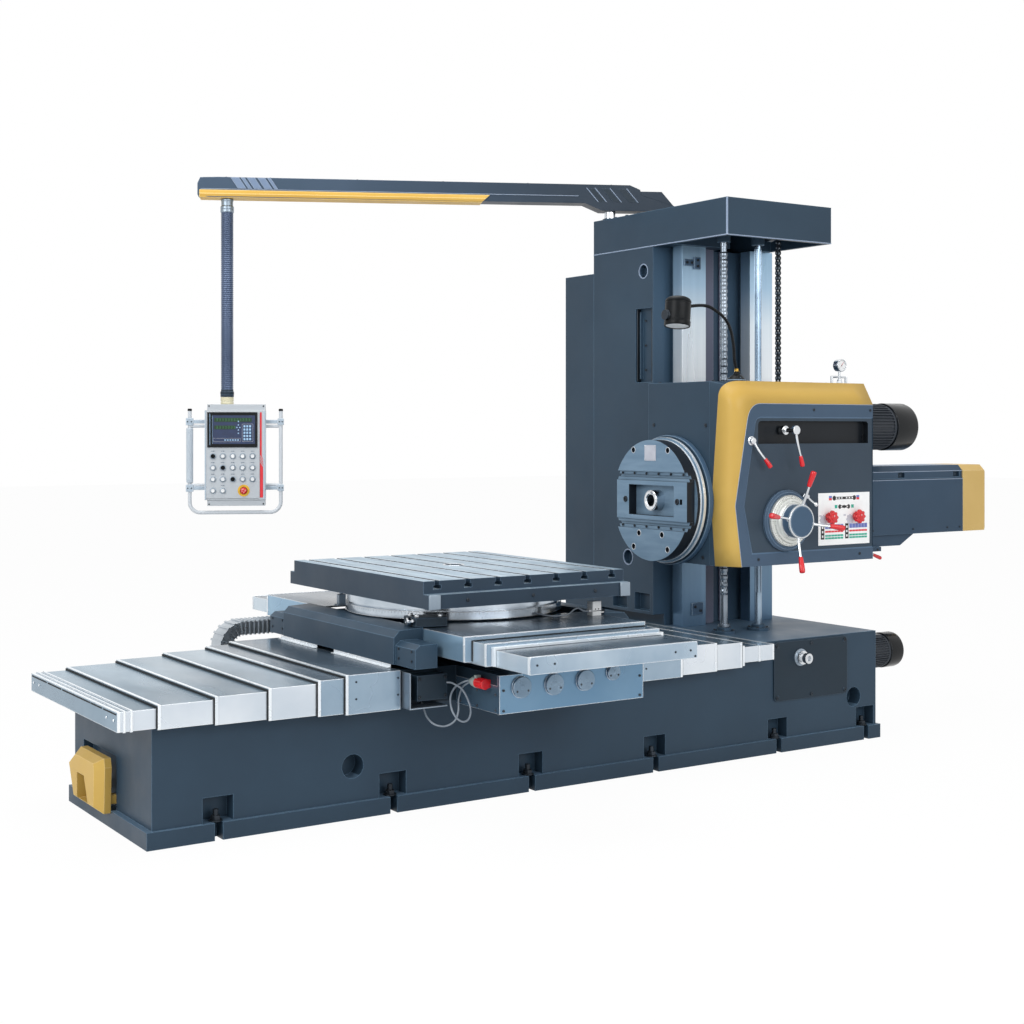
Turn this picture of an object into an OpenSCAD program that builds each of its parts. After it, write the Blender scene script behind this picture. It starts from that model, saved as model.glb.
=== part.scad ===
// Table type horizontal boring machine with telescopic way covers and a pendant control.
// The origin is the centre of the bed's underside. X runs along the bed to the column,
// Y runs away from the operator, Z is up. All sizes are millimetres.

/* [Bed] */
// Length of the bed's foot flange
bed_length = 4200; // [3900:10:4400]
// Width of the bed's foot flange
bed_width = 1017; // [1000:1:1100]
// Height of the foot flange
foot_h = 74; // [50:1:100]
// Step from the flange's edge to the bed's walls
foot_step = 12; // [6:1:20]
// Height of the deck that carries the ways
deck_z = 500; // [460:1:505]
// Height of the deck under the column
column_deck_z = 590; // [580:1:600]
// Where the high part of the bed starts, measured from the centre
column_deck_x = 1240; // [1230:1:1260]
// Width of one bed way
way_w = 150; // [100:1:170]
// Distance of each way's centre line from the middle of the bed
way_y = 400; // [380:1:410]
// Height of the ways above the deck
way_h = 45; // [30:1:50]
// Width of an anchor pocket
pocket_w = 135; // [100:1:160]
// Height of an anchor pocket
pocket_h = 106; // [80:1:130]
// Depth of an anchor pocket
pocket_d = 70; // [40:1:90]
// Width of the anchor slot in the flange
slot_w = 36; // [24:1:50]
// Diameter of the round core holes in the bed's long walls
core_hole_d = 105; // [80:1:130]

/* [Saddle and cross slide] */
// Left face of the saddle
saddle_x0 = -1000; // [-1020:1:-990]
// Right face of the saddle
saddle_x1 = 350; // [330:1:360]
// Height of the saddle's top
saddle_top_z = 646; // [642:1:650]
// Height of the cross ways
cross_way_z = 668; // [664:1:672]
// Forward reach of the saddle's front arm
front_arm_y = 1290; // [1200:5:1300]
// Backward reach of the saddle's rear arm
rear_arm_y = 1060; // [1055:1:1065]
// Half length of the cross slide's side beams
beam_half = 570; // [540:1:600]
// Top of the cross slide's side beams
beam_top_z = 822; // [815:1:826]
// Reach of the wiper caps past the side beams
wiper_reach = 175; // [120:1:190]
// Height of the front gearbox's underside
gearbox_z = 478; // [470:1:500]

/* [Rotary table] */
// Middle of the table along the bed
table_x = -350; // [-360:1:-330]
// Height of the table's work surface
table_top_z = 1035; // [1025:1:1045]
// Table size along the bed
table_w = 1100; // [1050:1:1120]
// Table size across the bed
table_l = 1312; // [1250:1:1330]
// Thickness of the table's upper plate
table_plate_h = 57; // [50:1:62]
// Thickness of the table's lower flange
table_flange_h = 63; // [50:1:66]
// How far the lower flange stands out at the front and the back
table_flange_out = 45; // [20:1:50]
// Number of tee slots
slot_count = 7; // [5:2:7]
// Distance from the table's edge to the middle of its outer tee slot
slot_edge = 70; // [60:1:90]
// Width of a tee slot's neck
tee_neck_w = 24; // [18:1:28]
// Width of a tee slot's head
tee_head_w = 40; // [32:1:44]
// Depth of a tee slot's neck
tee_neck_h = 20; // [16:1:22]
// Height of a tee slot's head
tee_head_h = 17; // [14:1:18]
// Radius of the table's centre bore
centre_bore_r = 40; // [30:1:45]
// Outer radius of the table's bearing ring
ring_r = 530; // [500:1:540]

/* [Column] */
// Left face of the column
column_x0 = 1160; // [1150:1:1170]
// Right face of the column
column_x1 = 2030; // [2000:1:2040]
// Front face of the column behind the guideways
column_y0 = 320; // [315:1:330]
// Back face of the column
column_y1 = 884; // [870:1:900]
// Underside of the cap
cap_z0 = 2735; // [2720:1:2750]
// Top of the cap
cap_z1 = 2938; // [2920:1:2950]
// Front face of the cap
cap_y0 = -306; // [-310:1:-290]
// Right end of the cap's front part
cap_x1 = 1925; // [1900:1:1940]
// Front plane of the column's guideways
guide_y = 199; // [195:1:205]
// Depth of a guideway
guide_d = 81; // [75:1:90]
// Back face of the rear cabinet
cabinet_y1 = 1173; // [1150:1:1200]
// Top of the rear cabinet
cabinet_z1 = 2627; // [2500:1:2640]

/* [Headstock] */
// Left face of the headstock
head_x0 = 1030; // [1020:1:1040]
// Right face of the headstock
head_x1 = 2050; // [2040:1:2060]
// Underside of the headstock
head_z0 = 986; // [980:1:990]
// Top of the headstock
head_z1 = 1955; // [1940:1:1960]
// Front plane of the control panel
panel_y = -500; // [-510:1:-490]
// Height of the spindle's axis
spindle_z = 1320; // [1310:1:1330]
// Front face of the facing head
face_x = 885; // [880:1:890]
// Radius of the facing head
face_r = 325; // [310:1:330]
// Half height of the facing head's cross channel
channel_half = 155; // [150:1:160]
// Half height of the facing slide
slide_half = 105; // [100:1:110]
// Radius of the boring spindle
spindle_r = 55; // [45:1:56]
// Radius of the spindle's nose taper bore
nose_bore_r = 32; // [25:1:35]
// Running clearance of shafts and of the spindle
run_gap = 0.05; // [0.02:0.01:0.1]
// Gap between flat faces that slide
slide_gap = 0.3; // [0.2:0.05:0.5]

/* [Tail and motors] */
// Right end of the tail housing
tail_x1 = 3200; // [3150:1:3210]
// Right end of the tail's end cap
tail_cap_x1 = 3420; // [3390:1:3430]
// Underside of the tail housing
tail_z0 = 1080; // [1070:1:1090]
// Top of the tail housing
tail_z1 = 1485; // [1470:1:1490]
// Front face of the tail housing
tail_y0 = -150; // [-155:1:-140]
// Back face of the tail housing
tail_y1 = 190; // [170:1:195]
// Radius of the spindle motor
spindle_motor_r = 138; // [120:1:145]
// Radius of the feed motor
feed_motor_r = 100; // [90:1:105]

/* [Capstan and levers] */
// Capstan axis along the bed
capstan_x = 1400; // [1390:1:1402]
// Capstan axis height
capstan_z = 1220; // [1215:1:1225]
// Radius of the capstan's hub
hub_r = 88; // [80:1:92]
// Distance of the grips' tips from the capstan's axis
grip_reach = 280; // [255:1:285]
// Turn of the four spokes from upright
spoke_turn = 9; // [0:1:20]
// Radius of the capstan's dial flange
dial_r = 162; // [150:1:163]

/* [Pendant] */
// Turn of the boom about its post, seen from above
boom_turn = 154; // [150:1:158]
// Distance from the boom's post to the conduit
boom_reach = 2248; // [2200:1:2260]
// Gap between the column's cap and the boom
boom_rise = 92; // [85:1:120]
// Height of the boom's beam
boom_h = 121; // [100:1:130]
// Width of the boom
boom_w = 120; // [100:1:130]
// Radius of the conduit
conduit_r = 37; // [30:1:38]
// Number of ribs along the conduit
conduit_ribs = 88; // [60:1:90]
// Width of the pendant's box
pendant_w = 345; // [330:1:350]
// Depth of the pendant's box
pendant_d = 110; // [100:1:120]
// Height of the pendant's underside
pendant_z0 = 1262; // [1255:1:1270]
// Height of the pendant's top
pendant_z1 = 1846; // [1840:1:1850]
// Radius of a push button
button_r = 11; // [9:1:12]

/* [Telescopic covers] */
// Sheet thickness of the covers
sheet = 3; // [2:0.5:4]
// Length of one sliding cover on the left
left_len = 360; // [350:1:380]
// Width of the wiper lip at each cover's edge
lip_w = 14; // [10:1:16]

/* [Hidden] */
$fn = 64;

// Colours of the finishes
paint = [0.19, 0.24, 0.29];
dark_paint = [0.12, 0.15, 0.18];
mustard = [0.82, 0.66, 0.30];
steel = [0.66, 0.71, 0.75];
bright = [0.85, 0.87, 0.88];
red = [0.85, 0.10, 0.12];
white = [0.90, 0.92, 0.93];
black = [0.05, 0.05, 0.06];

// Bed
bed_half = bed_length / 2;
wall_x = bed_half - 25;
wall_y = bed_width / 2 - foot_step;
way_top = deck_z + way_h;
pocket_x = [-1790, -965, -226, 517, 1342, 1990];
core_holes = [[-1164, 229], [1903, 240]];
pedestal_x0 = column_x0 - 10;
pedestal_y0 = 640;
pedestal_y1 = cabinet_y1 + 7;
crank_x = 1500;
crank_z = 490;
crank_r = 22;
bed_screw_z = deck_z - 60;
bed_screw_r = 25;
bed_screw_x1 = column_deck_x - 4;
bed_screw_x0 = -wall_x + 60;
trough_x0 = -wall_x + 100;
trough_z = deck_z - 115;
right_void_x = [column_deck_x + 90, bed_half - 140];
tray_x = [-1560, 260];
feed_motor_z = 440;
feed_motor_y = -300;
feed_motor_x1 = 2417;
plate_x = [1312, 1848];
plate_z = [268, 580];
plate_t = 8;

// Cable carrier behind the bed
carrier_y = [1082, 1220];
carrier_t = 76;
carrier_bend = 100;
carrier_x = -988;
carrier_top_z = 688;
carrier_mid_z = carrier_top_z - carrier_t / 2 - carrier_bend;
carrier_upper = 850;
carrier_lower = 1050;
tray_z = carrier_mid_z - carrier_bend - carrier_t / 2 - slide_gap;
clamp_x = -400;

// Covers, from the smallest to the largest
left_edge = [-2248, -2085, -1846, -1614, -1392];
right_edge = [column_deck_x, 1009, 829, 596];
right_len = [553, 477, 405, 596 - saddle_x1];
cover_step = [8.75, 13, 5];
left_half = [for (i = [0 : 4]) 585 + cover_step[0] * i];
left_top = [for (i = [0 : 4]) 587 + cover_step[1] * i];
left_low = [for (i = [0 : 4]) 507 - cover_step[2] * i];
saddle_step_x = -1266;
right_half = [for (i = [0 : 3]) 580 + 13 * i];
right_top = [588, 616, 627, 638];
right_low = [509, 488, 486, 480];

// Cross covers: left edge, right edge, top, underside
cross_x0 = [-774, -812, -850];
cross_x1 = [112, 117, 122];
cross_top = [771, 797, 817];
cross_low = [700, 702, 709];
cross_front = [-1300, -1030, -920];
cross_back = [1460, 1100];
deck_half = 450;

// Cross slide
gearbox_y0 = -960;
arm_front = gearbox_y0 + 18 + slide_gap;
beam_w = 140;
cross_slide_x0 = saddle_x0;
cross_slide_x1 = 2 * table_x - saddle_x0;
cross_bottom = cross_way_z + slide_gap;
ring_z0 = beam_top_z + 4;
slot_pitch = (table_w - 2 * slot_edge) / (slot_count - 1);
table_z0 = table_top_z - table_plate_h - table_flange_h;
ring_step = (table_z0 - ring_z0) / 2;

// Column guideways
guide_left = [1272, 1444];
guide_right = [1779, 1952];
neck_in = 28;
screw_x = 1300;
screw_y = -120;
screw_r = 20;
shaft_x = 1550;
thread_z = [column_deck_z + 210, cap_z0 - 35];
shaft_r = 19;
chain_x = 1700;
sprocket_r = 70;
chain_y = -120;
sprocket_z = cap_z0 + 85;
well_x = [1500, 1900];
well_y = [500, 800];
weight_z = [1400, 2120];
cabinet_x1 = column_x1 - 130;

// Headstock outlines
head_back_y = guide_y - slide_gap;
apron_back_y = -316;
sleeve_r = 85;
tail_bore_r = 75;
left_lever = [1155, 1642];
right_lever = [1398, 1697];
small_lever = [1524, 1345];
knob_x = [1712, 1918];
knob_z = 1227;
field_d = 4;
clamp_lever = [2330, 999];

// Pendant
post_x = 1252;
post_y = 848;
post_r = 32;
boom_bottom_z = cap_z1 + boom_rise;
boom_top_z = boom_bottom_z + boom_h;
pendant_shift = 48;
pendant_floor = 1210;

// A block given by its two corners
module block(a, b) {
    translate(a) cube(b - a);
}

// A plate in the XZ plane, from y0 to y1
module xz_plate(points, y0, y1) {
    translate([0, y1, 0]) rotate([90, 0, 0]) linear_extrude(y1 - y0) polygon(points);
}

// A plate in the YZ plane, from x0 to x1
module yz_plate(points, x0, x1) {
    translate([x0, 0, 0]) rotate([90, 0, 90]) linear_extrude(x1 - x0) polygon(points);
}

// A round bar along X, from x0 to x1
module bar_x(x0, x1, y, z, r) {
    translate([x0, y, z]) rotate([0, 90, 0]) cylinder(h = x1 - x0, r = r);
}

// A round bar along Y, from y0 to y1
module bar_y(x, y0, y1, z, r) {
    translate([x, y1, z]) rotate([90, 0, 0]) cylinder(h = y1 - y0, r = r);
}

// A round bar along Z, from z0 to z1
module bar_z(x, y, z0, z1, r) {
    translate([x, y, z0]) cylinder(h = z1 - z0, r = r);
}

// A flat outline with rounded corners
function round_rect(x0, y0, x1, y1, r, steps = 4) = [
    for (c = [[x1 - r, y1 - r, 0], [x0 + r, y1 - r, 90], [x0 + r, y0 + r, 180],
            [x1 - r, y0 + r, 270]])
        for (i = [0 : steps]) [c[0] + r * cos(c[2] + 90 * i / steps),
            c[1] + r * sin(c[2] + 90 * i / steps)]
];

// Bed casting with its ways, anchor pockets and the pedestal behind it
module bed() {
    void_z = [30, deck_z - 130];
    color(paint) difference() {
        union() {
            block([-bed_half, -bed_width / 2, 0], [bed_half, bed_width / 2, foot_h]);
            block([-wall_x, -wall_y, foot_h], [column_deck_x, wall_y, deck_z]);
            block([column_deck_x, -wall_y, foot_h], [wall_x, wall_y, column_deck_z]);
            block([pedestal_x0, pedestal_y0, 0], [wall_x - 30, pedestal_y1, column_deck_z]);
            block([column_deck_x, wall_y, 0], [wall_x - 30, pedestal_y0, column_deck_z]);
            for (s = [-1, 1])
                block([-wall_x + 20, s * way_y - way_w / 2, deck_z],
                    [column_deck_x - 10, s * way_y + way_w / 2, way_top]);
            cover_brackets();
            carrier_tray();
        }
        block([trough_x0, -160, trough_z], [column_deck_x, 160, deck_z + 1]);
        for (i = [0 : 5], s = [-1, 1]) anchor_pocket(pocket_x[i], s);
        for (h = core_holes) bar_y(h[0], -wall_y - 1, -wall_y + 80, h[1], core_hole_d / 2);
        for (i = [0 : 4])
            core_void(-1990 + 620 * i, void_z);
        block([right_void_x[0], -wall_y + 140, void_z[0]],
            [right_void_x[1], wall_y - 60, column_deck_z - 210]);
        block([pedestal_x0 + 50, pedestal_y0 + 40, void_z[0]],
            [wall_x - 80, pedestal_y1 - 50, column_deck_z - 60]);
        block([-bed_half - 1, -70, 60], [-wall_x + 45, 370, 305]);
        bar_y(crank_x, -wall_y - 1, -wall_y + 130, crank_z, crank_r + run_gap);
        bar_x(column_deck_x - 1, column_deck_x + 60, 0, bed_screw_z, bed_screw_r + run_gap);
        bar_x(bed_screw_x0 - 5, trough_x0 + 1, 0, bed_screw_z, bed_screw_r + run_gap);
    }
}

// One core void of the bed, higher under the ways than under the trough
module core_void(x, z) {
    block([x, -wall_y + 110, z[0]], [x + 560, wall_y - 110, z[1]]);
    for (s = [-1, 1])
        block([x, min(s * 190, s * (wall_y - 110)), z[1] - 1],
            [x + 560, max(s * 190, s * (wall_y - 110)), deck_z - 40]);
}

// One anchor pocket with its flange slot, on side s
module anchor_pocket(x, s) {
    y_out = s * (bed_width / 2 + 1);
    y_pocket = s * (wall_y - pocket_d);
    y_slot = s * (wall_y - pocket_d + 14);
    y_lo = min(y_out, y_pocket);
    y_hi = max(y_out, y_pocket);
    block([x - pocket_w / 2, y_lo, foot_h], [x + pocket_w / 2, y_hi, foot_h + pocket_h]);
    block([x - slot_w / 2, min(y_out, y_slot), -1], [x + slot_w / 2, max(y_out, y_slot), foot_h + 1]);
}

// Brackets at the bed's left end that carry the smallest left cover
module cover_brackets() {
    for (y = [-300, 260]) {
        block([left_edge[0] + sheet, y, left_low[0] + 6],
            [-wall_x + 60, y + 40, left_top[0] - sheet]);
        block([-wall_x, y, deck_z - 1], [-wall_x + 60, y + 40, left_top[0] - sheet]);
    }
}

// Tray behind the bed on which the cable carrier rolls
module carrier_tray() {
    block([tray_x[0], carrier_y[0] - 16, tray_z - 12], [tray_x[1], carrier_y[1] + 16, tray_z]);
    for (y = [carrier_y[0] - 16, carrier_y[1] + 10])
        block([tray_x[0], y, tray_z], [tray_x[1], y + 6, tray_z + 40]);
    for (x = [-1400, -650, 120])
        block([x, wall_y - 1, tray_z - 62], [x + 60, carrier_y[1] + 16, tray_z - 12]);
}

// Lifting bracket on the bed's left end
module lifting_bracket() {
    outer = [[352, 232], [236, 300], [-72, 300], [-84, 262], [-72, 64], [270, 64]];
    window = [[196, 200], [100, 200], [44, 84], [196, 84]];
    color(mustard) {
        difference() {
            hull() {
                yz_plate(outer, -bed_half - 30, -bed_half);
                yz_plate([for (p = outer) [140 + (p[0] - 140) * 0.78, 180 + (p[1] - 180) * 0.78]],
                    -bed_half - 62, -bed_half - 30);
            }
            yz_plate(window, -bed_half - 70, -bed_half + 5);
        }
        for (y = [-64, 230]) block([-bed_half, y, 100], [-wall_x + 45, y + 34, 140]);
    }
}

// Cover plate of the feed gearbox on the front of the bed, with its four screws
module feed_gearbox_cover() {
    pts = round_rect(plate_x[0], plate_z[0], plate_x[1], plate_z[1], 24);
    y0 = -wall_y - plate_t;
    color(dark_paint) {
        difference() {
            xz_plate(pts, y0, -wall_y);
            bar_y(crank_x, y0 - 1, -wall_y + 1, crank_z, crank_r + 24);
        }
        for (x = [plate_x[0] + 26, plate_x[1] - 26], z = [plate_z[0] + 26, plate_z[1] - 26])
            bar_y(x, y0 - 4, y0, z, 6);
    }
}

// Motor body along X with fins and a fan cowl
module motor(x0, x1, y, z, r) {
    length = x1 - x0;
    cowl = length * 0.28;
    bar_x(x0, x0 + 16, y, z, r * 1.02);
    bar_x(x0 + 16, x1 - cowl, y, z, r * 0.86);
    for (i = [0 : 6])
        bar_x(x0 + 30 + i * (length - cowl - 50) / 7, x0 + 40 + i * (length - cowl - 50) / 7,
            y, z, r * 0.97);
    bar_x(x1 - cowl, x1, y, z, r);
}

// Feed motor on the right end of the bed
module bed_feed_motor() {
    color(black) motor(wall_x, feed_motor_x1, feed_motor_y, feed_motor_z, feed_motor_r);
}

// Crank shaft of the hand feed, with its collar
module crank_shaft() {
    y0 = -wall_y - plate_t;
    color(bright) difference() {
        union() {
            bar_y(crank_x, y0 - 66, -wall_y + 120, crank_z, crank_r);
            bar_y(crank_x, y0 - 24, y0 - slide_gap, crank_z, crank_r + 14);
            bar_y(crank_x, y0 - 66, y0 - 40, crank_z, crank_r + 5);
        }
        bar_y(crank_x, y0 - 67, y0 - 44, crank_z, 14);
    }
}

// Screw spindle along one axis: core with raised thread rings
module thread(length, r, pitch) {
    rings = floor(length / pitch);
    points = [[0, 0], for (i = [0 : rings - 1]) each [[r - 3, i * pitch],
        [r, i * pitch + pitch * 0.25], [r, i * pitch + pitch * 0.5],
        [r - 3, i * pitch + pitch * 0.75]], [r - 3, length], [0, length]];
    rotate_extrude() polygon(points);
}

// Long screw that drives the saddle along the bed
module bed_leadscrew() {
    color(bright) {
        translate([bed_screw_x0, 0, bed_screw_z]) rotate([0, 90, 0])
            thread(bed_screw_x1 - bed_screw_x0 - 10, bed_screw_r, 60);
        bar_x(bed_screw_x0, trough_x0 + 10, 0, bed_screw_z, bed_screw_r);
        bar_x(bed_screw_x1 - 14, column_deck_x + 50, 0, bed_screw_z, bed_screw_r);
    }
}

// U shaped sheet cover along X, open below, with a wiper lip at edge_x
module x_cover(x0, x1, half, top, low, lip, lip_at_left, gap_half, gap_top) {
    difference() {
        block([x0, -half, low], [x1, half, top]);
        block([x0 - 1, -half + sheet, low - 1], [x1 + 1, half - sheet, top - sheet]);
    }
    if (lip > 0) {
        a = lip_at_left ? x0 : x1 - lip;
        difference() {
            block([a, -half + sheet, low], [a + lip, half - sheet, top - sheet]);
            block([a - 1, -gap_half, low - 1], [a + lip + 1, gap_half, gap_top]);
        }
    }
}

// One sliding cover on the left of the saddle, counted from the smallest
module left_cover(i) {
    x_cover(left_edge[i], left_edge[i] + left_len, left_half[i], left_top[i], left_low[i],
        lip_w, true, left_half[i - 1] + slide_gap, left_top[i - 1] + slide_gap);
}

// One sliding cover on the right of the saddle, counted from the smallest
module right_cover(i) {
    x_cover(right_edge[i] - right_len[i], right_edge[i], right_half[i], right_top[i],
        right_low[i], lip_w, false, right_half[i - 1] + slide_gap,
        right_top[i - 1] + slide_gap);
}

// The smallest covers, which stay on the bed
module fixed_bed_covers() {
    color(steel) {
        x_cover(left_edge[0], left_edge[0] + left_len, left_half[0], left_top[0], left_low[0],
            0, true, 0, 0);
        block([left_edge[0], -left_half[0] + sheet, left_low[0]],
            [left_edge[0] + sheet, left_half[0] - sheet, left_top[0] - sheet]);
        for (i = [0, 1])
            x_cover(left_edge[0] + 22 + 29 * i, left_edge[0] + 34 + 29 * i, left_half[0] + 3,
                left_top[0] + 3, left_low[0] - 3, 0, true, 0, 0);
        x_cover(right_edge[0] - right_len[0], right_edge[0], right_half[0], right_top[0],
            right_low[0], 0, true, 0, 0);
        block([right_edge[0] - sheet, -wall_y, deck_z], [right_edge[0], wall_y, right_top[0] - sheet]);
    }
}

module left_cover_2() {
    color(steel) left_cover(1);
}

module left_cover_3() {
    color(steel) left_cover(2);
}

module left_cover_4() {
    color(steel) left_cover(3);
}

module right_cover_2() {
    color(steel) right_cover(1);
}

module right_cover_3() {
    color(steel) right_cover(2);
}

// Covers that ride on the saddle: the largest ones and the ends of the cross covers
module saddle_covers() {
    color(steel) {
        x_cover(left_edge[4], saddle_x0, left_half[4], left_top[4], left_low[4], lip_w, true,
            left_half[3] + slide_gap, left_top[3] + slide_gap);
        x_cover(saddle_step_x, saddle_x0, left_half[4] + cover_step[0],
            left_top[4] + cover_step[1], left_low[4] - cover_step[2], lip_w, true,
            left_half[4] - 1, left_top[4] - 1);
        x_cover(saddle_x1, right_edge[3], right_half[3], right_top[3], right_low[3], lip_w,
            false, right_half[2] + slide_gap, right_top[2] + slide_gap);
        y_cover(cross_front[0], cross_front[0] + 520, 0);
        block([cross_x0[0] + sheet, cross_front[0], cross_low[0]],
            [cross_x1[0] - sheet, cross_front[0] + sheet, cross_top[0] - sheet]);
        y_cover(cross_back[0] - 700, cross_back[0], 0);
        block([cross_x0[0] + sheet, cross_back[0] - sheet, cross_low[0]],
            [cross_x1[0] - sheet, cross_back[0], cross_top[0] - sheet]);
    }
}

// U shaped sheet cover along Y for stage i of the cross covers
module y_cover(y0, y1, i) {
    difference() {
        block([cross_x0[i], y0, cross_low[i]], [cross_x1[i], y1, cross_top[i]]);
        block([cross_x0[i] + sheet, y0 - 1, cross_low[i] - 1],
            [cross_x1[i] - sheet, y1 + 1, cross_top[i] - sheet]);
    }
}

// Wiper lip of cross cover stage i, riding on stage j
module y_lip(y0, i, j) {
    difference() {
        block([cross_x0[i] + sheet, y0, cross_low[i]],
            [cross_x1[i] - sheet, y0 + lip_w, cross_top[i] - sheet]);
        block([cross_x0[j] - slide_gap, y0 - 1, cross_low[i] - 1],
            [cross_x1[j] + slide_gap, y0 + lip_w + 1, cross_top[j] + slide_gap]);
    }
}

module front_cover_2() {
    color(steel) {
        y_cover(cross_front[1], cross_front[1] + 400, 1);
        y_lip(cross_front[1], 1, 0);
    }
}

// The largest cross covers, fixed to the cross slide
module cross_slide_covers() {
    color(steel) {
        y_cover(cross_front[2], -deck_half, 2);
        y_lip(cross_front[2], 2, 1);
        y_cover(deck_half, cross_back[1], 2);
        y_lip(cross_back[1] - lip_w, 2, 0);
    }
}

// Saddle that slides along the bed and carries the cross ways
module saddle() {
    arm_x = [table_x - 350, table_x + 350];
    tongue = [[arm_front + 40, saddle_top_z - 1], [arm_front, saddle_top_z - 1],
        [-front_arm_y, cross_low[0] + 1], [-front_arm_y, 740], [-1080, 740],
        [arm_front + 40, cross_way_z]];
    color(dark_paint) difference() {
        union() {
            block([saddle_x0, -600, way_top + slide_gap], [saddle_x1, 600, saddle_top_z]);
            block([arm_x[0], arm_front, 600], [arm_x[1], -600, saddle_top_z]);
            block([arm_x[0], 600, 600], [arm_x[1], rear_arm_y, saddle_top_z]);
            for (s = [-1, 1])
                block([saddle_x0 + 10, min(s * 600, s * (wall_y + 12)), deck_z - 12],
                    [saddle_x1 - 10, max(s * 600, s * (wall_y + 12)), way_top + 1]);
            for (s = [-1, 1]) {
                block([table_x + s * 240 - 60, arm_front, saddle_top_z],
                    [table_x + s * 240 + 60, rear_arm_y, cross_way_z]);
                yz_plate(tongue, table_x + s * 240 - 60, table_x + s * 240 + 60);
            }
            for (x = [arm_x[0], arm_x[1] - 30])
                block([x, rear_arm_y - 1, cross_low[0] + 6],
                    [x + 30, cross_back[0] - sheet, cross_top[0] - sheet]);
            for (x = [arm_x[0], arm_x[1] - 30])
                block([x, rear_arm_y - 60, 600], [x + 30, rear_arm_y, cross_top[0] - sheet]);
            block([arm_x[0], -front_arm_y, cross_low[0] + 1],
                [arm_x[1], -front_arm_y + 30, cross_top[0] - sheet]);
            block([-190, -90, trough_z + 5], [-60, 90, way_top + 1]);
            block([-950, -690, 520], [-800, -600, 630]);
            carrier_clamp();
        }
        bar_x(-191, -59, 0, bed_screw_z, bed_screw_r + run_gap);
        block([table_x - 70, arm_front + 42, cross_way_z - 60],
            [table_x + 70, rear_arm_y - 70, cross_way_z + 1]);
        bar_y(table_x, rear_arm_y - 71, rear_arm_y + 1, cross_way_z - 28, 16 + run_gap);
        bar_y(table_x, arm_front + 11, arm_front + 43, cross_way_z - 28, 16 + run_gap);
    }
}

// Guide on the saddle that holds the carrier's upper run
module carrier_clamp() {
    x1 = clamp_x + 100;
    y0 = carrier_y[0] - 12;
    y1 = carrier_y[1] + 12;
    z0 = carrier_top_z - carrier_t - 12;
    z1 = carrier_top_z + 10;
    difference() {
        union() {
            block([clamp_x, y0, z0], [x1, y1, z1]);
            block([clamp_x, rear_arm_y - 1, z0], [x1, y0 + 1, 640]);
        }
        block([clamp_x - 1, carrier_y[0] - 1, carrier_top_z - carrier_t - 1],
            [x1 + 1, carrier_y[1] + 1, carrier_top_z + 1]);
    }
}

// Front gearbox under the cross covers, with its round caps
module saddle_gearbox() {
    y0 = gearbox_y0;
    color(steel) {
        difference() {
            block([-700, y0, gearbox_z], [80, -600 - slide_gap, 600 - slide_gap]);
            block([-690, y0 + 14, gearbox_z + 60], [70, -640, 590]);
        }
        block([-700, y0, 590], [80, y0 + 18, 645]);
        for (c = [[-590, 588], [-418, 585], [-250, 588]]) gearbox_cap(c[0], y0, c[1], 46);
        gearbox_cap(-94, y0, 609, 34);
    }
}

// One round cap with its two pin holes
module gearbox_cap(x, y0, z, r) {
    difference() {
        bar_y(x, y0 - 14, y0, z, r);
        for (s = [-1, 1]) bar_y(x + s * r * 0.62, y0 - 15, y0 - 6, z - r * 0.35, 5);
    }
}

// A round tube swept along points, closed at both ends
function unit(v) = v / norm(v);
function path_dir(p, i) = unit(p[min(i + 1, len(p) - 1)] - p[max(i - 1, 0)]);
function side_dir(d) = unit(cross(d, abs(d[2]) > 0.9 ? [1, 0, 0] : [0, 0, 1]));
function smooth(p) = [for (i = [0 : len(p) - 2], t = [0, 0.5]) curve_point(p, i, t),
    p[len(p) - 1]];
function curve_point(p, i, t) = let (a = p[max(i - 1, 0)], b = p[i], c = p[i + 1],
    d = p[min(i + 2, len(p) - 1)]) b + t * (c - a) / 2
    + t * t * (a - 2.5 * b + 2 * c - 0.5 * d) + t * t * t * (1.5 * b - 0.5 * a - 1.5 * c + 0.5 * d);
module tube(points, r, sides) {
    p = smooth(points);
    n = len(p);
    pts = [for (i = [0 : n - 1]) let (d = path_dir(p, i), a = side_dir(d), b = cross(d, a))
        for (k = [0 : sides - 1]) p[i] + r * (cos(360 * k / sides) * a + sin(360 * k / sides) * b)];
    walls = [for (i = [0 : n - 2], k = [0 : sides - 1]) let (a = i * sides, b = (k + 1) % sides)
        each [[a + k, a + sides + k, a + sides + b], [a + k, a + sides + b, a + b]]];
    ends = [[for (k = [0 : sides - 1]) k], [for (k = [sides - 1 : -1 : 0]) (n - 1) * sides + k]];
    polyhedron(pts, concat(walls, ends));
}

// Routes of the loose cables at the saddle's front left corner
cable_loop = [[-712, -800, 602], [-750, -812, 606], [-800, -830, 600], [-838, -842, 560],
    [-836, -838, 510], [-790, -828, 478], [-742, -816, 500], [-728, -800, 556],
    [-762, -764, 590], [-812, -716, 592], [-812, -703, 592], [-812, -690, 592]];
cable_tail = [[-712, -830, 584], [-745, -846, 580], [-775, -860, 550], [-790, -850, 500],
    [-800, -800, 462], [-830, -740, 440], [-860, -690, 440], [-880, -646, 480],
    [-880, -624, 510], [-880, -612, 510], [-880, -600, 510]];

// Plug connectors on the gearbox's left side with their cables
module saddle_cable_plugs() {
    color(black) {
        tube(cable_loop, 6, 8);
        tube(cable_tail, 7, 8);
    }
    color(red) {
        block([-712, -880, 570], [-700, -770, 632]);
        bar_y(-706, -884, -880, 600, 5);
    }
}

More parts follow.
